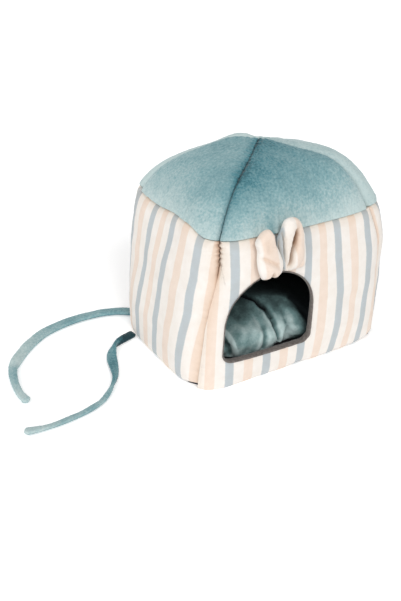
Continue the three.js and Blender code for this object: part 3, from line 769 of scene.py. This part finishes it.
def roof_pile_tone_and_painted_light(name, share, level, to_start, to_end, to_eave, point):
    """Lightness of the pile: darker at the top and pale along the eave, with painted shade beside the front
    hip, a painted shadow of the bow and a painted sheen on the back panel.
    """
    down = 2 - level
    if name == "roof_front":
        pile_tone_and_painted_light = 0.06 + 0.3 * down ** 2 + 0.6 * np.exp(-to_eave / 20) + 0.18 * share ** 2 * down
        # Painted shade in the groove beside the front left hip, darkest on the hip line
        pile_tone_and_painted_light = pile_tone_and_painted_light - 0.2 * np.exp(-to_start / 22) - 0.2 * np.exp(-to_start / 7)
        pile_tone_and_painted_light = pile_tone_and_painted_light - 0.5 * np.exp(-to_start / 1.6)
    elif name == "roof_left":
        high = np.clip((level - 1.15) / 0.3, 0, 1)
        pile_tone_and_painted_light = 0.3 + 0.55 * np.exp(-to_eave / 26) + 0.2 * (1 - share) * down
        # Painted shade beside the front left hip, darkest on the hip line
        pile_tone_and_painted_light = pile_tone_and_painted_light - 0.3 * high * np.exp(-(to_end / 12) ** 2) - 0.5 * np.exp(-to_end / 1.6)
    else:
        # The back panel is painted lighter: a painted sheen where its pile is seen edge on
        pile_tone_and_painted_light = 0.8 + 0.2 * down + 0.4 * (name == "roof_back")
    x, y, _ = np.moveaxis(point, -1, 0)
    if name == "roof_front":
        # Painted shadow that the bow casts on the front panel
        pile_tone_and_painted_light = pile_tone_and_painted_light - 0.6 * np.exp(-((x + 62) / 9) ** 2 - (to_eave / 15) ** 2)
    return pile_tone_and_painted_light + 0.07 * waves(150, 90, x, y) + 0.04 * waves(151, 26, x, y)


def roof_panel(name, columns, rows):
    low = 1 + SEAM_GAP / 2 / ROOF_SPAN
    angle, level, share = panel_grid(ROOFS[name], columns, rows, low, 2 - ROOF_TIP)
    across = body_across(angle, level)
    point = body_point(angle, level)
    to_start, to_end, to_eave, _ = seam_distances(angle, level, *ROOFS[name])
    lift = edge_lift(ROOF_THICKNESS, PANEL_EDGE_DEPTH, np.minimum.reduce([to_start, to_end, to_eave]))
    outer = point - across * roof_depth(name, angle, level)[..., None]
    inner = point - across * (ROOF_THICKNESS - lift)[..., None]
    pile_tone_and_painted_light = roof_pile_tone_and_painted_light(name, share, level, to_start, to_end, to_eave, point)
    piece = shell_mesh(name + "_plush", outer, inner, False, {"pile_tone_and_painted_light": pile_tone_and_painted_light})
    return finish_piece(piece, "teal_plush", name)


# Bow

BOW_LOOPS = {
    # Height, left edge and right edge of the loop's outline
    "bow_loop_left": {
        "outline": [
            (196.5, -87, -64), (200.5, -91, -60), (210, -95.6, -55.7), (218, -97.5, -54.5),
            (227, -98.7, -54.3), (233, -99, -56.5), (240, -97.8, -59.5), (246.5, -96.6, -62.5),
            (253, -98.3, -66), (259, -99.6, -67), (263, -97.5, -67.6), (269.5, -93.6, -68.7),
            (274, -90, -71), (277.5, -86, -73.5), (280, -80.5, -76),
        ],
        "depths": (12, 13),
    },
    "bow_loop_right": {
        "outline": [
            (200, -42, -12), (204, -47, -10), (209.5, -51, -9), (216, -55, -8.2), (223, -58.5, -8),
            (235, -60.5, -8.2), (250, -61.2, -9.2), (259, -60.5, -10.8), (264, -57.5, -13),
            (271, -54, -15.6), (278.7, -51.5, -18.4), (285.5, -50, -23), (289, -46.5, -27), (291.8, -42, -33),
        ],
        "depths": (9, 13),
    },
}
# The striped cloth across each loop: where it starts, its lean, its stretch and its shift in millimetres
BOW_CLOTH = {"bow_loop_left": (-79, -0.1, 0.62, 33), "bow_loop_right": (-57.5, -0.05, 0.95, 0)}
# Lines on the front of the loops, as x and height
LEFT_FOLD = [(-97, 240), (-88, 236.5), (-80.5, 231.5), (-72.5, 226.5), (-62, 219)]
RIGHT_FOLD = [(-31.4, 263), (-34, 246), (-38.5, 234), (-39.6, 221), (-42, 207)]
RIGHT_SEAM = [(-56, 278), (-54.4, 271), (-51.8, 258), (-51.3, 235), (-47, 212)]
# Valleys in the front of the loops: a line, then depth and reach
BOW_VALLEYS = {
    "bow_loop_left": [
        (LEFT_FOLD, 5, 3.6),
        ([(-74.5, 195), (-74.5, 202), (-76, 210)], 8, 2.4),
        ([(-84, 270), (-82, 255), (-80, 242)], 2, 8),
    ],
    "bow_loop_right": [
        ([(-30.5, 272), *RIGHT_FOLD], 16, 3.6),
        ([(-26, 276), (-28.5, 262), (-32, 247), (-37, 235)], 5, 5),
        (RIGHT_SEAM, 7, 2.4),
        ([(-66, 262), (-64, 240), (-60, 215)], 7, 7),
        ([(-8, 250), (-12, 225), (-24, 200)], 3, 6),
    ],
}
# Painted shade on the loops, in their folds and between the two loops, in the same form
BOW_PAINTED_SHADE = {
    "bow_loop_left": [
        (LEFT_FOLD, 0.4, 3),
        ([(-75.5, 195), (-75.5, 202), (-76, 208)], 0.8, 2.5),
        ([(-86, 268), (-84, 255), (-80, 244)], 0.3, 8),
        ([(-66, 262), (-58, 242), (-53, 225), (-55, 208)], 0.5, 3),
    ],
    "bow_loop_right": [
        ([(-31, 270), *RIGHT_FOLD], 1.0, 5),
        ([(-33, 282), (-31, 262), (-34, 244)], 0.45, 8),
        ([(-48, 268), (-46, 250), (-47, 230)], 0.2, 7),
        (RIGHT_SEAM, 0.6, 2.2),
        ([(-63, 268), (-63, 250), (-61, 225), (-57, 208)], 0.95, 5),
    ],
}
BOW_MIDDLE = 240
BOW_NOTCH = {"x": -75.5, "lift": 8, "reach": 3.4, "low": 198, "fade": 9}


def along_line(x, z, points):
    """Distance to a line through points, and the share of its length at the nearest point."""
    best = np.full(np.shape(x), 1e9)
    share = np.zeros(np.shape(x))
    count = len(points) - 1
    for k, ((ax, az), (bx, bz)) in enumerate(zip(points, points[1:])):
        dx, dz = bx - ax, bz - az
        t = np.clip(((x - ax) * dx + (z - az) * dz) / (dx * dx + dz * dz), 0, 1)
        away = np.hypot(x - ax - t * dx, z - az - t * dz)
        share = np.where(away < best, (k + t) / count, share)
        best = np.minimum(best, away)
    return best, share


def valleys(x, z, lines):
    """How far the valleys push a surface in."""
    depth = 0
    for points, deep, reach in lines:
        away, share = along_line(x, z, points)
        ends = np.clip(np.sin(math.pi * (0.08 + 0.84 * share)) * 1.6, 0, 1)
        depth = depth + deep * ends * np.exp(-(away / reach) ** 2)
    return depth


def bow_loop(name, sides, rings):
    loop = BOW_LOOPS[name]
    heights, lefts, rights = np.array(loop["outline"], float).T
    upward = 0.5 - 0.5 * np.cos(math.pi * np.linspace(0.02, 0.98, rings))
    z = heights[0] + (heights[-1] - heights[0]) * upward
    left, right = smoothed(np.stack([np.interp(z, heights, side) for side in (lefts, rights)]), 3)
    center, half_width = (left + right) / 2, (right - left) / 2
    share = (z - z[0]) / (z[-1] - z[0])
    full = np.interp(share, [0, 1], loop["depths"])
    deep = np.maximum(full * (1 - np.abs(2 * share - 1) ** 5) ** 0.5, 0.8)
    middle = np.where(share > 0.5, full, deep)[:, None]
    wall = body_point(*front_place(center, np.minimum(z, EAVE_HEIGHT)))[:, 1]
    turn = np.linspace(0, 2 * math.pi, sides, endpoint=False)[None, :]
    z = np.repeat(z[:, None], sides, 1)
    x = center[:, None] + half_width[:, None] * np.cos(turn)
    facing = np.maximum(-np.sin(turn), 0)
    x = x + 0.5 * waves(61, 30, z, x)
    push = valleys(x, z, BOW_VALLEYS[name]) - 0.7 * waves(62, 24, x, z) - 0.4 * waves(63, 9, x, z)
    half = deep[:, None]
    front = middle + half * np.sign(-np.sin(turn)) * np.abs(np.sin(turn)) ** 0.8
    out = np.maximum(front - push * facing ** 0.5, 0.3 + 0.2 * facing)
    y = wall[:, None] - 0.8 - out
    if name == "bow_loop_left":
        low = np.exp(-np.maximum(z - BOW_NOTCH["low"], 0) / BOW_NOTCH["fade"])
        z = z + BOW_NOTCH["lift"] * low * np.exp(-((x - BOW_NOTCH["x"]) / BOW_NOTCH["reach"]) ** 2)
    points = np.stack([x, y, z], -1)
    place, lean, stretch, shift = BOW_CLOTH[name]
    # Painted shade from the loops' folds, carried in the seam value that darkens the cloth
    shaded = np.clip(valleys(x, z, BOW_PAINTED_SHADE[name]), 0, 1) * np.clip(facing * 4, 0, 1)
    cloth = (x - place - lean * (z - BOW_MIDDLE)) * stretch + shift
    values = {"cloth": cloth, "rise": z, "seam": SEAM_SHADE_REACH * (1 - shaded) ** 2}
    piece = closed_tube(name + "_cloth", points, values)
    return finish_piece(piece, "striped_cotton", name)


# Ties

def smooth_curve(route):
    """Many points on a smooth curve through a route's points."""
    points = np.array(route, float)
    padded = np.concatenate([2 * points[:1] - points[1:2], points, 2 * points[-1:] - points[-2:-1]])
    t = np.linspace(0, 1, 20, endpoint=False)[:, None]
    fine = [
        0.5 * (2 * b + (c - a) * t + (2 * a - 5 * b + 4 * c - d) * t ** 2 + (3 * b - a - 3 * c + d) * t ** 3)
        for a, b, c, d in zip(padded, padded[1:], padded[2:], padded[3:])
    ]
    return np.concatenate(fine + [points[-1:]])


TIE_LOOKS = {
    # Share of the length, turn of the strip in degrees, its width, its thickness and how light its pile is
    # painted, darkest at the lower tie's root for painted shade
    "tie_upper": [
        (0, 0, 19, 8.5, 0.25), (0.2, 6, 19, 8.5, 0.33), (0.42, -4, 19, 8, 0.5), (0.6, -12, 19, 7.5, 0.85),
        (0.72, -16, 19, 7, 1.0), (0.75, 24, 16, 7, 0.5), (0.85, 22, 13, 7, 0.6), (0.94, 8, 12, 7, 0.85),
        (1, 6, 15, 8, 0.9),
    ],
    "tie_lower": [
        (0, -10, 15, 7, -0.6), (0.07, -34, 14, 7, -0.6), (0.13, -84, 12, 6.5, -0.2),
        (0.19, -150, 16, 7, 0.15), (0.28, -186, 18, 7, 0.05), (0.36, -200, 14, 7, -0.1),
        (0.45, -262, 9, 6, 0.15), (0.54, -338, 10, 6, 0.4), (0.7, -360, 10.5, 6, 0.5),
        (0.92, -352, 11, 6, 0.75), (0.97, -354, 15, 7.5, 0.9), (1, -356, 16, 8, 0.9),
    ],
}


def tie(name, steps, sides):
    middle, length = even_points(smooth_curve(TIE_ROUTES[name]), steps)
    share = np.linspace(0, 1, steps)
    shares, *columns = np.array(TIE_LOOKS[name], float).T
    looks = smoothed(np.stack([np.interp(share, shares, column) for column in columns]), 10)
    twist, wide, thick, pale = np.radians(looks[0]), looks[1], looks[2], looks[3]
    run = share * length
    round_off = np.sqrt(np.clip(1 - (1 - np.minimum(length - run, 6) / 6) ** 2, 0.02, 1))
    round_off = round_off * np.sqrt(np.clip(1 - (1 - np.minimum(run, 3) / 3) ** 2, 0.3, 1))
    half_wide = wide / 2 * round_off
    half_thick = thick / 2 * (0.35 + 0.65 * round_off) * (1 + 0.08 * waves(203, 40, run))
    reach = np.hypot(half_wide * np.sin(twist), half_thick * np.cos(twist))
    middle = np.column_stack([middle, reach + 0.5])
    along = unit(np.gradient(middle, axis=0))
    sideways = unit(np.cross(np.array([0, 0, 1.0]), along))
    over = unit(np.cross(along, sideways))
    turn = np.linspace(0, 2 * math.pi, sides, endpoint=False)
    flat = np.sign(np.cos(turn)) * np.abs(np.cos(turn)) ** 0.6 * half_wide[:, None]
    high = np.sign(np.sin(turn)) * np.abs(np.sin(turn)) ** 0.7 * half_thick[:, None]
    cos, sin = np.cos(twist)[:, None], np.sin(twist)[:, None]
    across, rise = flat * cos - high * sin, flat * sin + high * cos
    points = middle[:, None] + sideways[:, None] * across[..., None] + over[:, None] * rise[..., None]
    shift = 0.35 * waves(204, 5, points[..., 0], points[..., 1], points[..., 2])
    points = points + unit(points - middle[:, None]) * shift[..., None]
    points[..., 2] = np.maximum(points[..., 2], 0.15)
    pile_tone_and_painted_light = pale[:, None] + 0.12 * waves(201, 40, points[..., 0], points[..., 1])
    # Painted shade along the strip's lower side
    pile_tone_and_painted_light = pile_tone_and_painted_light - 0.45 * np.clip(0.2 - rise / half_thick[:, None], 0, 1)
    piece = closed_tube(name + "_plush", points, {"pile_tone_and_painted_light": pile_tone_and_painted_light})
    return finish_piece(piece, "teal_plush", name)


# Cushion

# Folds in its cover: points as x and the way down its front from the back of its crown, then depth and reach
CUSHION_FOLDS = [
    ([(-52, 30), (-42, 50), (-32, 68), (-27, 95), (-25, 123), (-23, 158), (-20, 186)], 9, 3.6),
    ([(-48, 108), (-50, 135), (-53, 160), (-56, 188)], 5, 5),
    ([(-32, 158), (-28, 176), (-26, 190)], 4, 4),
    ([(-120, 112), (-114, 146), (-107, 172), (-98, 192)], 8, 4.5),
    ([(-124, 155), (-116, 172), (-110, 188)], 6, 4),
    ([(22, 82), (32, 109), (35, 132), (40, 152)], 4, 5),
    ([(-84, 60), (-80, 95), (-76, 130), (-78, 160)], 2.5, 9),
    ([(-8, 70), (-2, 105), (-4, 140), (-10, 175)], 3, 8),
    ([(40, -10), (80, 14), (112, 42)], 5, 14),
]
# Painted highlights along ridges that catch the light, in the same form
CUSHION_PAINTED_HIGHLIGHTS = [
    ([(-110, 106), (-108, 140), (-101, 166), (-88, 192)], 1.3, 2.8),
    ([(-53, 92), (-53, 122), (-60, 156), (-53, 186)], 0.35, 5),
    ([(-42, 126), (-44, 156), (-43, 184)], 0.22, 5),
    ([(-34, 84), (-33, 110), (-31, 140)], 0.2, 4),
    ([(-112, 160), (-114, 180)], 0.5, 7),
    ([(-10, 62), (10, 76), (24, 94), (30, 130)], 0.22, 4),
]
CUSHION_HIGH = 95
CUSHION_FORWARD = 22  # how far its front swells towards the doorway
CUSHION_PUFF = 0.012  # most that the filling pushes the cover out, in metres
CUSHION_GRAIN = 0.005  # of the mesh that is filled
PUFF_FRAMES = 20
PUFF_SETTINGS = {
    "quality": 6, "mass": 0.3, "tension_stiffness": 15, "compression_stiffness": 15,
    "bending_stiffness": 0.5, "use_pressure": True, "uniform_pressure_force": 4,
}


def triples(items, key):
    found = np.empty(len(items) * 3, np.float32)
    items.foreach_get(key, found)
    return found.reshape(-1, 3)


def evaluated(piece):
    return piece.evaluated_get(bpy.context.evaluated_depsgraph_get())


def puff_up(piece):
    """Fill the cushion by cloth simulation, and keep its result as the mesh."""
    rest = triples(piece.data.vertices, "co")
    cloth = piece.modifiers.new("cloth", "CLOTH")
    for key, value in PUFF_SETTINGS.items():
        setattr(cloth.settings, key, value)
    cloth.settings.effector_weights.gravity = 0
    cloth.point_cache.frame_start = 1
    cloth.point_cache.frame_end = PUFF_FRAMES
    for number in range(1, PUFF_FRAMES + 1):
        bpy.context.scene.frame_set(number)
    step = triples(evaluated(piece).data.vertices, "co") - rest
    piece.modifiers.remove(cloth)
    bpy.context.scene.frame_set(1)
    size = np.linalg.norm(step, axis=1, keepdims=True)
    step = step * np.minimum(1, CUSHION_PUFF / np.maximum(size, 1e-9))
    piece.data.vertices.foreach_set("co", (rest + step).ravel())
    piece.data.update()


def apply_modifier(piece, kind, **settings):
    modifier = piece.modifiers.new(kind.lower(), kind)
    for key, value in settings.items():
        setattr(modifier, key, value)
    mesh = bpy.data.meshes.new_from_object(evaluated(piece))
    piece.modifiers.remove(modifier)
    piece.data = mesh


def cushion():
    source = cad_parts["cushion"]
    piece = bpy.data.objects.new("cushion_plush", source.data.copy())
    piece.matrix_world = source.matrix_world
    bpy.context.collection.objects.link(piece)
    apply_modifier(piece, "REMESH", mode="VOXEL", voxel_size=CUSHION_GRAIN)
    puff_up(piece)
    apply_modifier(piece, "SUBSURF", levels=1)
    crease_cushion(piece)
    piece.data.materials.clear()
    piece.data.shade_smooth()
    return finish_piece(piece, "teal_plush", "cushion")


def crease_cushion(piece):
    """Folds and wrinkles in the filled cover, and painted light on it: a patch lit through the doorway,
    painted highlights on ridges and painted shade in the folds and beyond the patch.
    """
    mesh = piece.data
    spots = triples(mesh.vertices, "co")
    normals = triples(mesh.vertex_normals, "vector")
    x, y, z = (spots / MM + ORIGIN).T
    down = -y + CUSHION_HIGH - z
    sunk = valleys(x, down, CUSHION_FOLDS) * np.clip(normals[:, 2] * 2 - normals[:, 1] * 2 + 0.4, 0, 1)
    sunk = sunk - 1.2 * waves(301, 60, x, y, z) - 0.5 * waves(302, 22, x, y, z)
    top = np.clip((z - 20) / 15, 0, 1)
    moved = spots - normals * (sunk * top)[:, None] * MM
    forward = np.clip((-50 - y) / 60, 0, 1) * np.clip((z - 3) / 12, 0, 1) * np.clip((150 - z) / 90, 0, 1)
    moved[:, 1] -= CUSHION_FORWARD * smooth_step(forward) * MM
    mesh.vertices.foreach_set("co", moved.ravel())
    # Painted light: the patch lit through the doorway, brightest on its crown and lower front, with near
    # black painted shade beyond it
    edge = np.interp(down, [45, 85, 120, 155, 200], [-6, 14, 24, 26, 12])
    doorway_light_patch = np.clip((edge - x) / 30 + 0.5, 0, 1) * np.clip((down - 40) / 75, 0, 1)
    crown = np.exp(-((x + 8) / 26) ** 2 - ((down - 150) / 45) ** 2)
    low = np.clip((down - 135) / 45, 0, 1)
    pile_tone_and_painted_light = 0.02 + 0.62 * doorway_light_patch + 0.34 * crown + 0.22 * low * doorway_light_patch
    # Painted light and shade: lighter on the lit side of the patch's edge, darker on its far side
    pile_tone_and_painted_light = pile_tone_and_painted_light + 0.09 * np.clip((edge - x) / 20, 0, 1) - 0.16 * np.clip((x - edge) / 20, 0, 1)
    pile_tone_and_painted_light = pile_tone_and_painted_light + doorway_light_patch * (0.12 * waves(303, 50, x, down) + 0.08 * waves(304, 18, x, down))
    # Painted highlights on the ridges, painted shade in the folds
    pile_tone_and_painted_light = pile_tone_and_painted_light + valleys(x, down, CUSHION_PAINTED_HIGHLIGHTS) - 0.075 * np.maximum(sunk, 0)
    add_numbers(mesh, "pile_tone_and_painted_light", pile_tone_and_painted_light)
    mesh.update()


# Materials

GREY_STRIPE = (0.455, 0.50, 0.525)
WHITE_STRIPE = (0.79, 0.755, 0.715)
PEACH_STRIPE = (0.765, 0.65, 0.565)
STRIPE_EDGE = 0.8  # half the width of the soft edge of a stripe
STRIPE_WANDER = 1.2
# Painted shade: the cloth is painted darker within this distance of a seam, the eave or a fold of the bow
SEAM_SHADE_REACH = 24  # how far from a seam its cloth is darker
THREAD = 0.9
# Shades of the pile from dark to pale
TEAL_SHADES = [
    (0.0, (0.008, 0.035, 0.045)), (0.18, (0.03, 0.115, 0.14)), (0.31, (0.07, 0.2, 0.235)),
    (0.6, (0.225, 0.365, 0.385)), (0.94, (0.46, 0.56, 0.555)),
]
CUSHION_SHADES = [
    (0.25, (0.004, 0.007, 0.008)), (0.48, (0.05, 0.085, 0.085)), (0.68, (0.14, 0.235, 0.235)),
    (0.95, (0.48, 0.60, 0.59)),
]


class Paint:
    """A material and the nodes that give its color and its bumps."""

    def __init__(self, name, **sockets):
        self.material = bpy.data.materials.new(name)
        self.material.use_nodes = True
        self.tree = self.material.node_tree
        self.shader = self.tree.nodes["Principled BSDF"]
        self.fill(self.shader, {key.replace("_", " "): value for key, value in sockets.items()})

    def fill(self, node, sockets):
        """Set each socket to its value, or link it where the value is another node's output."""
        for key, value in sockets.items():
            if isinstance(value, bpy.types.NodeSocket):
                self.tree.links.new(value, node.inputs[key])
            else:
                node.inputs[key].default_value = value

    def node(self, kind, sockets, output=0, **settings):
        node = self.tree.nodes.new("ShaderNode" + kind)
        for key, value in settings.items():
            setattr(node, key, value)
        self.fill(node, sockets)
        return node.outputs[output]

    def math(self, operation, *values):
        return self.node("Math", dict(enumerate(values)), operation=operation)

    def numbers(self, name):
        return self.node("Attribute", {}, "Fac", attribute_name=name)

    def noise(self, scale, detail=3.0, roughness=0.5):
        """Noise over the piece in metres; scale is about one over the size of its grains."""
        sockets = {"Scale": scale, "Detail": detail, "Roughness": roughness}
        return self.node("TexNoise", {**sockets, "Vector": self.node("TexCoord", {}, "Object")}, "Fac")

    def uneven(self, amount, *grains):
        """Noise that goes to both sides of zero."""
        return self.math("MULTIPLY", self.math("SUBTRACT", self.noise(*grains), 0.5), amount)

    def ramp(self, source, stops):
        node = self.tree.nodes.new("ShaderNodeValToRGB")
        self.fill(node, {0: source})
        elements = node.color_ramp.elements
        while len(elements) < len(stops):
            elements.new(0.5)
        for element, (place, color) in zip(elements, stops):
            element.position = place
            element.color = (*color, 1)
        return node.outputs[0]

    def mottled(self, dark, pale, *grains):
        return self.ramp(self.noise(*grains), [(0.3, dark), (0.7, pale)])

    def times(self, color, shade):
        return self.node("Mix", {0: 1.0, 6: color, 7: shade}, 2, data_type="RGBA", blend_type="MULTIPLY")

    def finish(self, color, *bumps):
        """Link the color and the bumps: each has a height, a distance in metres and a strength."""
        self.fill(self.shader, {"Base Color": color})
        below = {}
        for height, distance, strength in bumps:
            sockets = {"Height": height, "Distance": distance, "Strength": strength}
            below = {"Normal": self.node("Bump", {**sockets, **below})}
        self.fill(self.shader, below)
        return self.material


def striped_material():
    paint = Paint("striped_cotton", Roughness=0.92, Specular_IOR_Level=0.15, Sheen_Weight=0.15,
                  Sheen_Roughness=0.5)
    cloth, rise = paint.numbers("cloth"), paint.numbers("rise")
    across = paint.math("ADD", cloth, paint.uneven(STRIPE_WANDER, 300, 2))
    across = paint.math("DIVIDE", across, STRIPE_REPEAT)
    place = paint.math("FRACT", paint.math("ADD", across, 0.5))
    soft, peach, grey = (width / STRIPE_REPEAT for width in (STRIPE_EDGE, PEACH_WIDTH / 2, GREY_WIDTH / 2))
    color = paint.ramp(place, [
        (peach - soft, PEACH_STRIPE), (peach + soft, WHITE_STRIPE),
        (0.5 - grey - soft, WHITE_STRIPE), (0.5 - grey + soft, GREY_STRIPE),
        (0.5 + grey - soft, GREY_STRIPE), (0.5 + grey + soft, WHITE_STRIPE),
        (1 - peach - soft, WHITE_STRIPE), (1 - peach + soft, PEACH_STRIPE),
    ])
    color = paint.times(color, paint.mottled((0.95, 0.93, 0.91), (1, 1, 1), 55, 4, 0.6))
    # Painted shade: darker and browner towards the seams, under the eave and in the bow's folds
    seam_shade = paint.ramp(paint.math("DIVIDE", paint.numbers("seam"), SEAM_SHADE_REACH), [
        (0.0, (0.42, 0.30, 0.22)), (0.06, (0.72, 0.60, 0.51)), (0.25, (0.93, 0.88, 0.83)), (1.0, (1, 1, 1)),
    ])
    color = paint.times(color, seam_shade)
    pitch = 2 * math.pi / THREAD
    threads = [paint.math("SINE", paint.math("MULTIPLY", way, pitch)) for way in (cloth, rise)]
    weave = paint.math("MULTIPLY", *threads)
    return paint.finish(color, (weave, 0.00012, 0.5), (paint.noise(160, 4, 0.6), 0.0006, 0.5))


def plush_material(name, shades, sheen, grain):
    """Short pile whose shade follows its painted lightness: its own tone with painted light and shade, with
    streaks and grains.
    """
    paint = Paint(name, Roughness=0.85, Specular_IOR_Level=0.15, Sheen_Weight=sheen, Sheen_Roughness=0.45,
                  Sheen_Tint=(0.75, 0.88, 0.9, 1))
    share = paint.math("ADD", paint.numbers("pile_tone_and_painted_light"), paint.uneven(0.35, 38, 5, 0.6))
    share = paint.math("ADD", share, paint.uneven(grain, 260, 3, 0.6))
    spread = paint.math("DIVIDE", paint.math("ADD", share, 0.5), 1.6)
    bumps = (paint.noise(700, 4, 0.7), 0.0012, 0.6), (paint.noise(130, 4, 0.6), 0.0016, 0.4)
    return paint.finish(paint.ramp(spread, shades), *bumps)


def inside_material():
    # Painted shade: the inner skins are painted almost black for the deep shade inside the house
    paint = Paint("painted_shade_inside", Roughness=0.95, Specular_IOR_Level=0.0)
    color = paint.mottled((0.002, 0.003, 0.003), (0.005, 0.007, 0.007), 40, 4)
    return paint.finish(color, (paint.noise(500, 3), 0.0008, 0.5))


def binding_material():
    paint = Paint("brown_binding", Roughness=0.85, Sheen_Weight=0.2)
    color = paint.mottled((0.085, 0.07, 0.062), (0.19, 0.165, 0.15), 260, 4, 0.6)
    rib = paint.math("SINE", paint.math("MULTIPLY", paint.numbers("run"), 6.0))
    return paint.finish(color, (rib, 0.0002, 0.5), (paint.noise(300, 3), 0.0006, 0.4))


def base_material():
    paint = Paint("dark_base", Roughness=0.8)
    color = paint.mottled((0.02, 0.018, 0.02), (0.05, 0.045, 0.05), 200, 4, 0.6)
    return paint.finish(color, (paint.noise(500, 3), 0.0005, 0.5))


def floor_material():
    paint = Paint("pale_floor", Roughness=0.9, Emission_Color=(1, 1, 1, 1), Emission_Strength=0.2)
    return paint.finish(paint.mottled((0.96, 0.96, 0.96), (0.98, 0.98, 0.98), 3, 2))


# Stage and light

FLOOR_REACH = 6  # in metres
WORLD_LIGHT = 0.58
# Each sun's way, its strength and its width in degrees
SUNS = {"key": ((0.16, 0.75, -0.66), 1.2, 20), "fill": ((0.9, 0.4, -0.55), 1.0, 60)}


def add_floor():
    corners = [(-1, -1, 0), (1, -1, 0), (1, 1, 0), (-1, 1, 0)]
    piece = add_mesh("floor", FLOOR_REACH * np.array(corners), [(0, 1, 2, 3)])
    piece.data.materials.append(floor_material())


def add_studio():
    scene = bpy.context.scene
    scene.world = bpy.data.worlds.new("studio")
    scene.world.use_nodes = True
    background = scene.world.node_tree.nodes["Background"]
    background.inputs[0].default_value = (1, 1, 1, 1)
    background.inputs[1].default_value = WORLD_LIGHT
    scene.view_settings.view_transform = "Standard"
    for name, (way, strength, width) in SUNS.items():
        data = bpy.data.lights.new(name, "SUN")
        data.energy = strength
        data.angle = math.radians(width)
        light = bpy.data.objects.new(name, data)
        bpy.context.collection.objects.link(light)
        light.rotation_mode = "QUATERNION"
        light.rotation_quaternion = Vector(way).to_track_quat("-Z", "Y")


# Everything

# Columns and rows of the panels' grids, and steps and sides of the other pieces
FRONT_GRID = (110, 70)
WALL_GRIDS = {"wall_left": (150, 130), "wall_right": (90, 90), "wall_back": (120, 90)}
ROOF_GRIDS = {
    "roof_front": (200, 150), "roof_left": (180, 150), "roof_right": (90, 80), "roof_back": (110, 80),
}
TIE_GRID = (160, 24)
BINDING_STEPS = 320
BOW_GRID = (112, 100)


def dress(piece, *materials):
    for material in materials:
        piece.data.materials.append(material)


def main():
    add_camera()
    teal = plush_material("teal_plush", TEAL_SHADES, 0.4, 1.0)
    pillow = plush_material("cushion_plush", CUSHION_SHADES, 0.08, 0.3)
    for name in TIE_ROUTES:
        dress(tie(name, *TIE_GRID), teal)
    striped = striped_material()
    inside = inside_material()
    dress(front_wall(*FRONT_GRID), striped, inside)
    for name, grid in WALL_GRIDS.items():
        dress(plain_wall(name, *grid), striped, inside)
    for name, grid in ROOF_GRIDS.items():
        dress(roof_panel(name, *grid), teal, inside)
    dress(door_binding(BINDING_STEPS), binding_material())
    for name in BOW_LOOPS:
        dress(bow_loop(name, *BOW_GRID), striped)
    dress(cushion(), pillow)
    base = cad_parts["base"]
    base.data.materials.clear()
    dress(base, base_material())
    add_floor()
    add_studio()



main()
